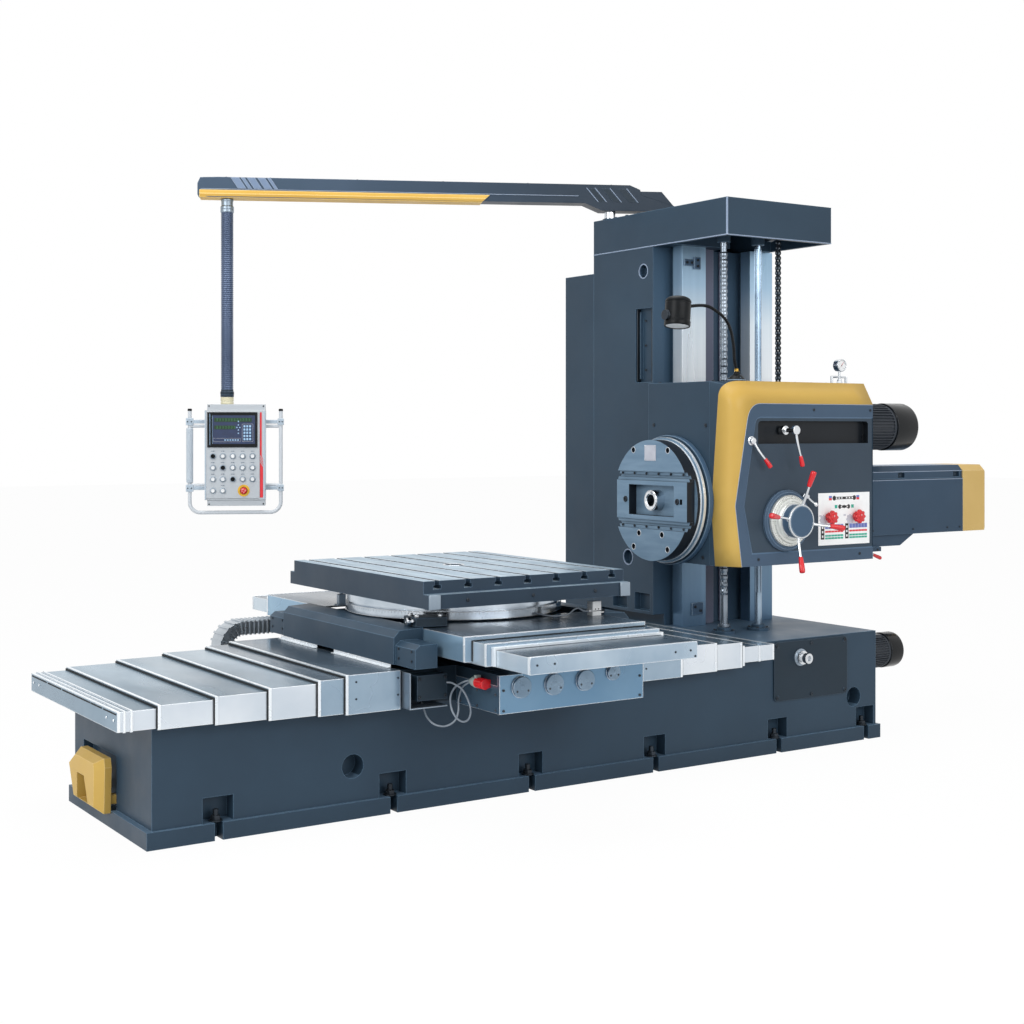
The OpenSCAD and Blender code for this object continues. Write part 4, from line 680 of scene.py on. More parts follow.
def panel_finish():
    """The control panel's rim is a shade lighter than the field inside it, and the slot area is
    darkened as painted shade.
    """
    tree = machine_paint("panel_finish", "#33404d", "#3a4957", "#66788b")
    inside = where(tree, own_axis(tree, 1), -0.4985)
    strip = reckon(tree, "MULTIPLY", where(tree, own_axis(tree, 2), 1.5601), inside)
    # Painted shade: the slot area above the field is darkened.
    darker = mix_colours(tree, strip, colour_of(tree), tone("#20252b"))
    rim = where(tree, own_axis(tree, 1), -0.4985, above=False)
    finish_with(tree, "Base Color", mix_colours(tree, rim, darker, tone("#52667b")))


def paint_lit_by_face(name, dark, light, axis, limit, colour):
    """Paint with painted light: a shade lighter on faces that point along one axis beyond the
    limit, for the light that falls on them.
    """
    tree = machine_paint(name, dark, light, "#5b7890")
    face = faces_to(tree, axis, limit)
    finish_with(tree, "Base Color", mix_colours(tree, face, colour_of(tree), tone(colour)))


def boom_finish():
    """Boom paint that is darker towards the root."""
    tree = machine_paint("boom_finish", "#3f5062", "#48596d", "#7187a0")
    span = add_node(tree, "MapRange", ("From Min", -0.4), ("From Max", 1.0),
                    ("Value", own_axis(tree, 0))).outputs["Result"]
    finish_with(tree, "Base Color", mix_colours(tree, span, colour_of(tree), tone("#243240")))


def way_finish():
    """Ground ways with light and shade painted by height: darker and bluish low down, brightest in
    the middle, bluish again near the top.
    """
    tree = bright_steel("way_finish", "#8f9aa5", "#b9c2ca", 0.3, 0.7, 0.015, (1.0, 1.0, 0.06))
    height = add_node(tree, "MapRange", ("From Min", 0.59), ("From Max", 2.735),
                      ("Value", own_axis(tree, 2))).outputs["Result"]
    # Painted light and shade: tones by height that stand for how the ways are lit and what they
    # reflect.
    painted_light_by_height = ramp(tree, height, ((0.0, "#5e7c98"), (0.42, "#8ca5b9"), (0.66, "#eef3f7"),
                                (0.80, "#dfeaf2"), (0.90, "#abc8df"), (1.0, "#97b8d2")))
    grain = cloudy(tree, ("#e2e7eb", "#ffffff"), 30.0, 3.0, (1.0, 1.0, 0.03))
    finish_with(tree, "Base Color", mix_colours(tree, 0.5, painted_light_by_height, grain, "MULTIPLY"))


painted_with_ground("table_finish", 2, 0.8, ("#283746", "#2e3f4f", "#5b7288"),
                    ("#7f95a6", "#acbfcc"), 0.75)
painted_with_ground("facing_head_finish", 0, -0.5, ("#141920", "#1b222a", "#3f4a56"),
                    ("#6a859c", "#7c96ac"), 0.35)
# Painted light: the column's front faces, the bed's top faces and the tail's top faces are painted
# lighter for the light that falls on them.
paint_lit_by_face("column_finish", "#2a3c4c", "#304455", 1, -0.8, "#3d5469")
paint_lit_by_face("bed_finish", "#2a3c4c", "#304455", 2, 0.8, "#5d768d")
paint_lit_by_face("tail_finish", "#2f4356", "#374c61", 2, 0.8, "#7d8fa4")
boom_finish()
way_finish()
panel_finish()
print("finishes:", len(finishes))

# %% [markdown]
# ## Finishes on the carried-over solids
# Each named solid keeps its mesh and gets the finish of the real piece.

# %% Put the finishes on the solids
FINISHES = {
    "bed_finish": "bed", "column_finish": "column", "way_finish": "column_guideways",
    "mustard_paint": "lifting_bracket headstock_trim",
    "black_paint": "bed_feed_motor spindle_motor",
    "dark_paint": "feed_gearbox_cover saddle counterweight", "table_finish": "rotary_table",
    "blue_paint": "column_cap column_rear_box cross_slide headstock",
    "cover_steel": "fixed_bed_covers left_cover_2 left_cover_3 left_cover_4 right_cover_2 "
                   "right_cover_3",
    "shaded_steel": "saddle_covers front_cover_2", "deck_steel": "cross_slide_covers",
    "gear_steel": "saddle_gearbox", "hose_steel": "cable_carrier",
    "turned_steel": "table_bearing_ring bed_leadscrew cross_leadscrew",
    "white_plastic": "limit_switch push_buttons", "screw_steel": "vertical_leadscrew",
    "chrome": "crank_shaft boring_spindle capstan speed_lever_left speed_lever_right "
              "feed_lever_small lower_lever pressure_gauge",
    "shaft_steel": "splined_feed_shaft", "dark_steel": "chain_sprocket counterweight_chain",
    "panel_finish": "control_panel", "facing_head_finish": "faceplate facing_slide",
    "tail_finish": "tail_housing", "pale_mustard_paint": "tail_end_cap",
    "red_plastic": "star_knob_left star_knob_right emergency_stop", "boom_finish": "boom_arm",
    "black_plastic": "saddle_cable_plugs work_lamp mode_selector axis_selector speed_selector",
    "conduit_steel": "conduit", "white_coat": "pendant_box", "tube_white_coat": "pendant_frame",
}
finished = 0
for material, names in FINISHES.items():
    for name in names.split():
        mesh = nodes[name].data
        mesh.materials.clear()
        mesh.materials.append(finishes[material])
        finished += 1
print("finished solids:", finished, "of", len(nodes))

# %% [markdown]
# ## Way cover hems and wipers
# A telescopic cover is a folded sheet whose front edge is bent over into a hem. The hem holds a
# rubber wiper that rides on the next smaller cover. A hoop with real thickness, one for each edge,
# shows the bright line and the dark joint that make such covers easy to know, and the hem's near
# white steel is partly a painted highlight on that edge.

# %% Add the hems and wipers of the covers along the bed


def hoop(axis, start, end, left, right, low, top, thick):
    """An upside down U of sheet from start to end, in mm; left to top are its inside."""
    outline = [(left - thick, low), (left, low), (left, top), (right, top), (right, low),
               (right + thick, low), (right + thick, top + thick), (left - thick, top + thick)]
    along_bed = Matrix.Translation(mm(start, 0, 0)) @ ALONG_X
    return flat(outline, end - start, along_bed if axis == "x" else facing_front(end))


def hem_and_wiper(name, body, axis, edge, inward, size, below=None):
    """A bright hem on a cover's edge and a rubber wiper that fills the step to the one below."""
    left, right, low, top = size
    span = sorted((edge, edge + 13 * inward))
    piece(name + "_hem", "hem_steel", body, hoop(axis, *span, left, right, low, top, 1.4),
          bevel=0.6)
    if below:
        a, b, c = below
        span = sorted((edge - 0.6 * inward, edge - 4.5 * inward))
        thick = min(top - c, right - b) - 1.2
        piece(name + "_wiper", "rubber", body,
              hoop(axis, *span, a - 0.4, b + 0.4, low + 3, c + 0.4, thick))


LEFT_COVERS = ((-2248, "machine"), (-2085, "left_cover_2"), (-1846, "left_cover_3"),
               (-1614, "left_cover_4"), (-1392, "saddle"), (-1266, "saddle"))
for i, (edge, body) in enumerate(LEFT_COVERS):
    half = 585 + 8.75 * i
    top = 587 + 13 * i
    below = (-half + 8.75, half - 8.75, top - 13) if i else None
    hem_and_wiper(f"left_cover_{i + 1}", body, "x", edge, 1, (-half, half, 507 - 5 * i, top), below)
RIGHT_COVERS = ((1009, 488, 616, 588, "right_cover_2"), (829, 486, 627, 616, "right_cover_3"),
                (596, 480, 638, 627, "saddle"))
for i, (edge, low, top, top_below, body) in enumerate(RIGHT_COVERS, 1):
    half = 580 + 13 * i
    hem_and_wiper(f"right_cover_{i + 1}", body, "x", edge, -1, (-half, half, low, top),
                  (-half + 13, half - 13, top_below))
piece("right_cover_2_inner_lip", "hem_steel", "right_cover_2",
      hoop("x", 1009.5, 1031, -581, 581, 494, 589, 8), bevel=0.6)
piece("fixed_cover_ribs", "hem_steel", "machine",
      hoop("x", 1134, 1146, -580, 580, 506, 588, 0.25),
      hoop("x", 1228, 1239.5, -580, 580, 509, 588, 1.4),
      hoop("x", -2224, -2216, -588, 588, 505, 590, 1.2),
      hoop("x", -2195, -2187, -588, 588, 505, 590, 1.2), bevel=0.6)
print("covers along the bed:", len(LEFT_COVERS) + len(RIGHT_COVERS), "hems")

# %% [markdown]
# The covers across the bed are made in the same way. The front one is closed by a plate that
# screws hold, and the plate's upper edge is bevelled so that chips slide off.

# %% Add the hems of the cross covers and the two end plates
FRONT_COVERS = ((-1300, (-774, 112, 700, 771), None, "saddle"),
                (-1030, (-812, 117, 702, 797), (-774, 112, 771), "front_cover_2"),
                (-920, (-850, 122, 709, 817), (-812, 117, 797), "cross_slide"))
for i, (edge, size, below, body) in enumerate(FRONT_COVERS):
    hem_and_wiper(f"front_cover_{i + 1}", body, "y", edge, 1, size, below)
piece("front_cover_2_inner_lip", "hem_steel", "front_cover_2",
      hoop("y", -1051, -1030.5, -775, 113, 703, 772, 12), bevel=0.6)
hem_and_wiper("rear_cover_3", "cross_slide", "y", 1100, -1, FRONT_COVERS[2][1])
hem_and_wiper("rear_cover_1", "saddle", "y", 1460, -1, FRONT_COVERS[0][1])

for name, y, away in (("front_end_plate", -1300.2, -1), ("rear_end_plate", 1460.2, 1)):
    outline = [(-775, 699), (113, 699), (113, 764), (105, 773), (-767, 773), (-775, 764)]
    piece(name, "plate_steel", "saddle",
          flat(outline, 2.5, facing_front(y if away < 0 else y + 2.5)), bevel=0.8)
    spots = [(x, y + 2.5 * away, z)
             for x, z in ((-738, 737), (-651, 737), (-11, 734), (74, 735), (100, 708))]
    piece(name + "_screws", "dark_steel", "saddle", screws((0, away, 0), 4.8, 2.6, spots))
print("cross covers: 3 front hems, 2 rear hems, 2 end plates")

# %% [markdown]
# Small things hold the sheets: rivets on the end plate at the bed's left end, and screws where
# the largest cover is fixed to the saddle. A bright strip seals the gap under the left beam.

# %% Add rivets, screws and the seals at the saddle
piece("left_end_rivets", "hem_steel", "machine",
      *[turned([(5.5, 0), (5, 1.8), (3, 2.8), (0, 3)], place_at(mm(-2249.2, y, 550), LEFT), 16)
        for y in (-545, -460, 460, 545)])
piece("left_end_joint", "rubber", "machine",
      blocks(*[(-2249.6, y0, 574, -2247.5, y1, 579.5) for y0, y1 in
               ((-572, -420), (-400, -262), (-250, 120), (140, 330), (352, 572))]))
piece("saddle_cover_screws", "dark_steel", "saddle",
      *[screws((0, s, 0), 4.5, 2.4, [(x, s * y, z)])
        for x, y, z in ((-1012, 628.9, 620), (-1012, 628.9, 547), (-1216, 628.9, 620),
                        (-1216, 628.9, 547), (368, 619.1, 610), (368, 619.1, 540))
        for s in (-1, 1)])
piece("left_seal_strip", "hem_steel", "saddle",
      *[blocks((-1004.5, y0, 652.3, -1000.4, y1, 667.4), (-1020, y0, 652.3, -1004.5, y1, 655))
        for y0, y1 in ((-545, 4), (184, 590))], bevel=0.8)
piece("right_seal_strip", "hem_steel", "saddle",
      blocks((350.2, -540, 639, 352.5, 540, 645.6), (350.2, -540, 638.4, 366, 540, 640.5)),
      bevel=0.6)
piece("saddle_guard_angle", "satin_steel", "saddle",
      blocks((-990, -694, 492, -984, -600.4, 645), (-990, -694, 486, -800, -600.4, 492)), bevel=1.2)
piece("saddle_block_screws", "dark_steel", "saddle",
      screws(FORWARD, 7, 6, grid((-940, -810), (-690.2,), (535, 615))))
print("saddle: rivets, screws, seals and guard")

# %% [markdown]
# ## Plug and cables on the saddle
# A red and grey coupling on the gearbox feeds the saddle's motor. Its cables hang in a loose loop
# so that they can follow the saddle, and go back into it at both ends. The plug is turned, and each
# cable is a round tube on one smooth route through its points.

# %% Make the plug and lay its cables


def lay_cable(name, points, diameter, body):
    """A cable along points in mm that goes back into the object."""
    path = eased([mm(*p) for p in points], 5)
    cable = piece(name, "cable_grey", body,
                  lambda bm: add_tube(bm, path, lambda t: diameter / 2, 14))


ribs = [(0, 0), (21, 0), (23.5, 2)]
for z in range(0, 54, 9):
    ribs += [(23.5, z + 4), (23.5, z + 9), (21, z + 10), (21, z + 12.5)]
ribs += [(23.5, 60), (23.5, 66), (0, 66)]
piece("saddle_plug_red", "red_plastic", "saddle",
      turned(ribs, place_at(mm(-728, -894, 602), BACK), 28),
      blocks((-712, -890, 584, -700.4, -790, 620)), bevel=0.6, instead_of="saddle_cable_plugs")
piece("saddle_plug_grey", "plug_grey", "saddle",
      turned([(0, 0), (25, 0), (25, 12), (21, 14), (21, 34), (14, 46), (11, 56), (0, 56)],
             place_at(mm(-728, -828, 602), BACK), 28),
      blocks((-740, -836, 619, -716, -818, 634)), bevel=0.6)
CABLE_LOOP = [(-728, -775, 602), (-731, -756, 600), (-750, -738, 592), (-790, -738, 572),
              (-828, -766, 540), (-846, -802, 500), (-838, -826, 462), (-806, -832, 440),
              (-772, -826, 448), (-750, -806, 484), (-752, -780, 530), (-766, -756, 568),
              (-784, -722, 586), (-790, -704, 590), (-802, -690, 590)]
CABLE_TAIL = [(-722, -775, 596), (-724, -752, 592), (-744, -726, 566), (-768, -736, 520),
              (-780, -752, 470), (-796, -746, 428), (-826, -716, 404), (-858, -676, 410),
              (-876, -642, 440), (-880, -620, 480), (-880, -600, 500)]
lay_cable("saddle_cable_loop", CABLE_LOOP, 0.0085, "saddle")
lay_cable("saddle_cable_tail", CABLE_TAIL, 0.0085, "saddle")

# %% [markdown]
# ## Beam caps, ring clamps and the limit switch
# The cross slide rides in way wipers whose caps are screwed on. Clamps hold the table's bearing
# ring, and a switch on the front cover stops the table's travel. All of these are blocks with
# real screws, because a ring of screws tells the size of the casting.

# %% Add clamps, index block and switch details
piece("beam_cap_screws", "dark_steel", "cross_slide",
      *[screws((way, 0, 0), 6, 3, [(x, s * y, z)]) for s in (-1, 1)
        for x, way in ((-992.3, -1), (292.3, 1)) for y in (600, 715) for z in (700, 742)])
ring_floor = Matrix.Translation(mm(0, 0, 822.3))
piece("ring_clamps", "dark_paint", "cross_slide",
      flat([(-884, -560), (-742, -596), (-700, -520), (-742, -470), (-878, -440)], 42, ring_floor),
      flat([(184, 560), (42, 596), (0, 520), (42, 470), (178, 440)], 42, ring_floor), bevel=3)
piece("ring_clamp_bolts", "chrome", "cross_slide",
      screws(UP, 12, 12, [(-860, -530, 864), (-860, -470, 864), (-760, -560, 864),
                          (160, 530, 864), (160, 470, 864), (60, 560, 864)]),
      turned([(0, 0), (17, 0), (19, 3), (19, 18), (12, 22), (12, 12), (0, 12)],
             place_at(mm(-886, -520, 846), (-1, 0.3, 0)), 28),
      bar((-884, -552, 850), (-906, -566, 852), 7, 16), bevel=0.5)
piece("index_pin_housing", "satin_steel", "cross_slide",
      blocks((-790, 372, 822.3, -752, 398, 880), (-800, 366, 822.3, -742, 404, 832)),
      bar((-771, 386, 880), (-771, 386, 892), 9, 16), bevel=1.5)
piece("table_index_blocks", "satin_steel", "rotary_table",
      blocks((-900, -710, 913.5, -843, -701.2, 978), (143, -710, 913.5, 200, -701.2, 978)), bevel=2)
piece("limit_switch_face", "dark_steel", "cross_slide",
      *[bar((x, -610.2, 848), (x, -612, 848), 3.4, 14) for x in (68, 86)],
      blocks((54, -612.5, 838, 112, -610.2, 841)),
      bar((112, -604, 839.5), (126, -604, 839.5), 5.5, 14))
SWITCH_CABLE = [(52, -590, 838), (30, -592, 838), (4, -594, 844), (-18, -592, 856),
                (-40, -586, 850), (-64, -576, 830), (-104, -564, 823), (-150, -554, 824),
                (-190, -540, 832), (-214, -518, 838), (-226, -505, 840)]
lay_cable("limit_switch_cable", SWITCH_CABLE, 0.008, "cross_slide")
print("table group: clamps, index blocks, switch")

# %% [markdown]
# ## Anchors and motors
# The bed stands on anchor bolts, one in each pocket of its foot. The two motors are finned
# castings with a sheet cowl over the fan. Fins along the motor are thin blocks set round a core,
# and the cowl is a turned shell with a ring of vents in its end.

# %% Add the anchor nuts and build the motors
anchors = []
for x, y in grid((-1790, -965, -226, 517, 1342, 1990), (-470, 470)):
    anchors += [turned([(0, 0), (30, 0), (30, 5), (0, 5)], place_at(mm(x, y, 74.2)), 24),
                turned([(0, 5), (22.5, 5), (22.5, 21), (19, 24), (0, 24)],
                       place_at(mm(x, y, 74.2)), 6),
                bar((x, y, 96), (x, y, 124), 12, 18)]
piece("anchor_bolts", "dark_steel", "machine", *anchors, bevel=0.8)
FINS = 44


def build_motor(name, node, x0, x1, y, z, r, body):
    """A motor along X in mm: flange, finned body, end ring and fan cowl with vents."""
    end = x1 - x0
    cowl = end * 0.70
    core = r * 0.86
    place = place_at(mm(x0, y, z), RIGHT)
    fins = [blocks((core - 4, -1.6, 32, r * 0.97, 1.6, cowl - 22),
                   place=spin(place, 360 * k / FINS)) for k in range(FINS)]
    piece(name + "_body", "black_paint", body,
          turned([(0, 0), (r * 1.02, 0), (r * 1.02, 14), (r * 0.92, 18), (core, 30),
                  (core, cowl - 20), (r * 0.93, cowl - 16), (r * 0.93, cowl), (0, cowl)],
                 place, 56),
          *fins, blocks((-52, r * 0.8, 90, 52, r * 0.985, 200), place=place))
    vents = [turned([(r * q, end - 3), (r * (q + 0.05), end - 3), (r * (q + 0.05), end - 1),
                     (r * q, end - 1), (r * q, end - 3)], place, 48)
             for q in (0.40, 0.52, 0.64, 0.76)]
    piece(name + "_cowl", "black_gloss_paint", body,
          turned([(r * 0.95, cowl - 4), (r, cowl), (r, end - 22), (r * 0.97, end - 8),
                  (r * 0.86, end), (r * 0.30, end), (r * 0.28, end - 4), (r * 0.80, end - 6),
                  (r * 0.93, end - 30), (r * 0.93, cowl)], place, 56),
          *vents, bevel=1, instead_of=node)
    flange_screws = around(0, 0, 14, r * 0.97, 45, 4)
    piece(name + "_fittings", "dark_steel", body,
          turned([(0, end - 10), (r * 0.84, end - 10), (r * 0.84, end - 7), (0, end - 7)], place),
          screws(RIGHT, 9, 8, flange_screws, place))
    print(name, "fins:", FINS)


build_motor("bed_motor", "bed_feed_motor", 2075.4, 2417, -300, 440, 100, "machine")
build_motor("headstock_motor", "spindle_motor", 2050.3, 2636, -176, 1716, 138, "headstock")

# %% [markdown]
# ## Headstock shell
# The front of the headstock is one casting: a flat front, a yellow bevel that bends round its
# upper left corner, and blue sides. Two curves in space give the bevel: the outer one on the left
# and top faces, and the inner one on the front. A strip of quads between curves with the same
# number of points gives a smooth, exact bevel.

# %% Draw the two edge curves of the bevel


def round_corner(start, corner, end, parts):
    """A quadratic curve that rounds a corner."""
    return [(1 - t) ** 2 * start + 2 * t * (1 - t) * corner + t * t * end
            for t in (k / parts for k in range(parts + 1))]


def line_to(start, end, parts):
    """Points on a straight line, without its end."""
    return [start.lerp(end, k / parts) for k in range(parts)]


def bevel_edge(low, knee, bend, corner, turned_to, end):
    """One edge of the bevel: two straight parts, the rounded corner and the top."""
    low, knee, bend, corner, turned_to, end = [mm(*p) for p in
                                               (low, knee, bend, corner, turned_to, end)]
    rise = line_to(low, knee, 3) + line_to(knee, bend, 6)
    return (rise + round_corner(bend, corner, turned_to, 14) + line_to(turned_to, end, 8)[1:]
            + [end])


outer_edge = bevel_edge((1030, -360, 986), (1030, -332, 1290), (1030, -385, 1880),
                        (1030, -402, 1955), (1135, -430, 1955), (2050, -430, 1955))
inner_edge = bevel_edge((1090, -500, 988), (1045, -500, 1305), (1128, -500, 1750),
                        (1145, -500, 1836), (1222, -500, 1836), (2050, -500, 1836))
BEND_START, BEND_MIDDLE, BEND_END = 9, 16, 23
back_edge = []
for i, p in enumerate(outer_edge):
    if i <= BEND_START:
        x, z = 1.030, p.z
    elif i <= BEND_MIDDLE:
        x, z = 1.030, 1.880 + 0.075 * (i - BEND_START) / 7
    elif i <= BEND_END:
        x, z = 1.030 + 0.105 * (i - BEND_MIDDLE) / 7, 1.955
    else:
        x, z = p.x, 1.955
    back_edge.append(Vector((x, -0.3155, z)))
print("bevel curves:", len(outer_edge), "and", len(inner_edge), "points")

# %% Build the bevel band and the blue sides


def add_strip(bm, first, second):
    """Adds quads between two rows of points."""
    a = [bm.verts.new(p) for p in first]
    b = [bm.verts.new(p) for p in second]
    for i in range(len(a) - 1):
        bm.faces.new((a[i], a[i + 1], b[i + 1], b[i]))


def add_shell(bm):
    """The blue sides behind the bevel, with the bottom and the right end."""
    add_strip(bm, back_edge, outer_edge)
    for corners in ([(1030, -315.5, 986), (2050, -315.5, 986), (2050, -500, 988), (1090, -500, 988),
                     (1030, -360, 986)],
                    [(2050, -315.5, 986), (2050, -315.5, 1955), (2050, -430, 1955),
                     (2050, -500, 1836), (2050, -500, 988)]):
        bm.faces.new([bm.verts.new(mm(*p)) for p in corners])
    bmesh.ops.remove_doubles(bm, verts=bm.verts, dist=0.00005)


band = piece("headstock_bevel_band", "mustard_paint", "headstock",
             lambda bm: add_strip(bm, outer_edge, inner_edge), angle=14,
             instead_of="headstock_trim")
thicken = band.modifiers.new("sheet", "SOLIDIFY")
thicken.thickness = 0.003
thicken.offset = 0.0
piece("headstock_front_shell", "blue_paint", "headstock", add_shell, angle=20)

# %% [markdown]
# The control panel is a shallow recess in the front with a slot along its top. The frame is one
# flat outline, the recess has a sloped wall that catches the light and is painted lighter as a
# painted highlight, and the floor is filled round the slot. The slot is painted near black, which
# is painted shade.

# %% Build the panel's frame, wall, floor and slot
FIELD = [(2050, 1050), (1160, 1050), (1104, 1300), (1182, 1730), (1188, 1750), (1200, 1763),
         (1222, 1768), (2050, 1768)]
INSET = [(2050, 1057), (1167, 1057), (1111, 1300), (1188, 1728), (1194, 1746), (1204, 1757),
         (1224, 1761), (2050, 1761)]
SLOT = [(1206, 1626), (1206, 1726), (1212, 1740), (1226, 1746), (2004, 1746), (2016, 1734),
        (2016, 1626)]
BESIDE_SLOT = (1169.6, 1626)
FRONT_Y, FLOOR_Y, SLOT_Y = -500, -496, -458


def at_depth(points, y):
    """Points of the panel, given as XZ pairs in mm, at the depth y."""
    return [mm(x, y, z) for x, z in points]


def add_faces(bm, y, *outlines):
    """Adds flat faces in the plane of the front, cut into triangles."""
    faces = [bm.faces.new([bm.verts.new(p) for p in at_depth(line, y)]) for line in outlines]
    for face in faces:
        face.normal_update()
    bmesh.ops.triangulate(bm, faces=faces)


def add_slot(bm):
    """The slot's wall and its floor."""
    ring = SLOT + SLOT[:1]
    add_strip(bm, at_depth(ring, FLOOR_Y), at_depth(ring, SLOT_Y))
    bm.faces.new([bm.verts.new(p) for p in at_depth(SLOT, SLOT_Y)])


frame_line = [(p.x * 1000, p.z * 1000) for p in inner_edge] + FIELD[:0:-1] + [FIELD[0], (2050, 988)]
below_slot = INSET[:3] + [BESIDE_SLOT, SLOT[0], SLOT[-1], (2050, 1626)]
above_slot = [(2050, 1626)] + SLOT[::-1] + [BESIDE_SLOT] + INSET[3:]
piece("panel_frame", "panel_rim_paint", "headstock",
      lambda bm: add_faces(bm, FRONT_Y, frame_line), instead_of="control_panel")
piece("panel_recess_wall", "panel_wall_paint", "headstock",
      lambda bm: add_strip(bm, at_depth(FIELD, FRONT_Y), at_depth(INSET, FLOOR_Y)), angle=30)
piece("panel_floor", "panel_field_paint", "headstock",
      lambda bm: add_faces(bm, FLOOR_Y, below_slot, above_slot))
piece("panel_slot", "slot_black_paint", "headstock", add_slot, angle=30)
piece("headstock_screws", "dark_steel", "headstock",
      screws(FORWARD, 8, 3, [(x, -500.1, z) for x, z in
                             ((1603, 1806), (2030, 1806), (1947, 1022), (1205, 1022))]),
      screws(LEFT, 10, 4, [(1029.9, y, z) for y, z in
                           ((150, 1726), (-286, 1723), (-263, 1025), (150, 1025))]))
print("panel: frame, wall, floor, slot and screws")

# %% [markdown]
# ## Data plate
# A white plate under the knobs shows the gear positions. Plain coloured fields fill it, in thin
# raised layers as on a printed and laminated plate.

# %% Build the data plate


def prints(*fields, lift=0.3):
    """Printed fields on the plate, lift mm above it, each given as x0, z0, x1, z1."""
    return blocks(*[(x0, -498.2 - lift, z0, x1, -498.1, z1) for x0, z0, x1, z1 in fields])


def star_outline(cx, cz, big, small, points=8):
    """A star with rounded points in the plane of the front, in mm."""
    line = []
    for k in range(points * 6):
        wave = 0.5 + 0.5 * math.cos(math.tau * k / 6)
        r = small + (big - small) * wave ** 0.8
        angle = math.tau * k / (points * 6)
        line.append((cx + r * math.cos(angle), cz + r * math.sin(angle)))
    return line


piece("data_plate", "label_white", "headstock",
      blocks((1638, -498.1, 1076, 2026, -495.9, 1358)), bevel=0.6)
piece("data_plate_black", "label_black", "headstock",
      prints((1752, 1322, 1912, 1336), (1795, 1276, 1868, 1288)),
      *[turned([(0, 0), (r, 0), (r, 0.4), (0, 0.4)], place_at(mm(x, -498.1, z), FORWARD), 28)
        for x, z, r in ((1756, 1329, 13), (1908, 1329, 13), (1798, 1282, 12), (1864, 1282, 12),
                        (1831, 1282, 9))],
      prints((1656, 1108, 1682, 1190), (1838, 1108, 1864, 1190)))
marks = [(x, 1325.5, x + 10, 1332.5) for x in (1768, 1788, 1808, 1844, 1866, 1888)]
marks += [(x, z, x + 10, z + 12) for x, z in grid((1664, 1846), (1118, 1142, 1166))]
marks += [(x, 1279, x + 8, 1285) for x in (1806, 1850)]
piece("data_plate_marks", "label_white", "headstock", prints(*marks, lift=0.6))
for name, rows, tags in (
        ("blue", ((1164, 1188),), ((1716, 1330, 1738, 1342), (1924, 1330, 1946, 1342))),
        ("red", ((1144, 1154),), ((1716, 1318, 1738, 1330), (1924, 1318, 1946, 1330))),
        ("teal", ((1108, 1118), (1122, 1132)),
         ((1760, 1274, 1780, 1292), (1884, 1274, 1904, 1292)))):
    fields = [(x0 + 23 * k, z0, x0 + 23 * k + 21, z1)
              for x0 in (1688, 1870) for z0, z1 in rows for k in range(6)]
    piece("data_plate_" + name, "label_" + name, "headstock", prints(*fields, *tags))
piece("data_plate_grey", "label_grey", "headstock",
      *[flat(star_outline(x, 1212, 30, 24), 0.3, facing_front(-498.1)) for x in (1676, 1876)],
      prints((1644, 1232, 1662, 1240), (1826, 1232, 1844, 1240)))
print("data plate: 6 coloured layers")

# %% [markdown]
# ## Star knobs
# The two red knobs are moulded stars with rounded points and a raised cap. A star outline is
# swept up with a shrinking scale, which gives the soft moulded edge.

# %% Build the star knobs
STAR_LAYERS = ((22, 22, 0), (22, 22, 17), (36, 27, 18), (38, 28.5, 21), (38, 28.5, 37),
               (36.5, 27.5, 40.5), (34, 26, 42), (20, 18, 42), (18, 17, 45), (15, 14.5, 46))
KNOB_Z = 1227


def add_star(bm, x):
    """The moulded star of one knob at x mm."""
    rows = [[bm.verts.new(mm(a, -498.4 - out, b)) for a, b in star_outline(x, KNOB_Z, big, small)]
            for big, small, out in STAR_LAYERS]
    for low, high in zip(rows, rows[1:]):
        close_rows(bm, low, high)
    bm.faces.new(rows[0])
    bm.faces.new(rows[-1])


for side, x in (("left", 1712), ("right", 1918)):
    knob = "star_knob_" + side
    piece(knob + "_grip", "red_plastic", knob, lambda bm: add_star(bm, x), angle=40,
          instead_of=knob)
    piece(knob + "_stem", "white_plastic", knob, bar((x, -498.2, KNOB_Z), (x, -470, KNOB_Z), 10),
          blocks((x - 1.5, -545.4, KNOB_Z + 4, x + 1.5, -544.4, KNOB_Z + 14)))
print("star knobs: 2")

# %% [markdown]
# ## Levers
# The levers are forged, chromed rods with red grips pushed on. Each rod is a tube swept along a
# slightly bent line that gets thinner towards the grip, and each grip is turned along the same
# direction. The direction comes from two angles: the turn on the panel and the lean towards the
# operator.

# %% Build the levers


def lean_direction(turn, lean):
    """The unit direction of an arm turned from upright and leaning out of the panel."""
    a, b = math.radians(turn), math.radians(lean)
    return Vector((math.cos(b) * math.sin(a), -math.sin(b), math.cos(b) * math.cos(a)))


def arm(start, direction, length, thick, thin, bow):
    """A round arm in mm from start that bows a little sideways on its way."""
    across = direction.cross(FORWARD).normalized()
    spots = [start + direction * (length * t / 1000) + across * (bow * math.sin(math.pi * t) / 1000)
             for t in (0.0, 0.2, 0.4, 0.6, 0.8, 1.0)]
    return lambda bm: add_tube(bm, eased(spots, 4),
                               lambda t: (thick + (thin - thick) * t) / 1000, 18)


def grip(start, direction, length, radius):
    """A moulded grip in mm: narrow collar, swelling body and round end."""
    shape = ((0, 0), (0.66, 0), (0.74, 0.03), (0.78, 0.10), (0.92, 0.45), (1, 0.80), (0.96, 0.92),
             (0.78, 0.98), (0.4, 1), (0, 1))
    return turned([(radius * r, length * h) for r, h in shape], place_at(start, direction), 28)


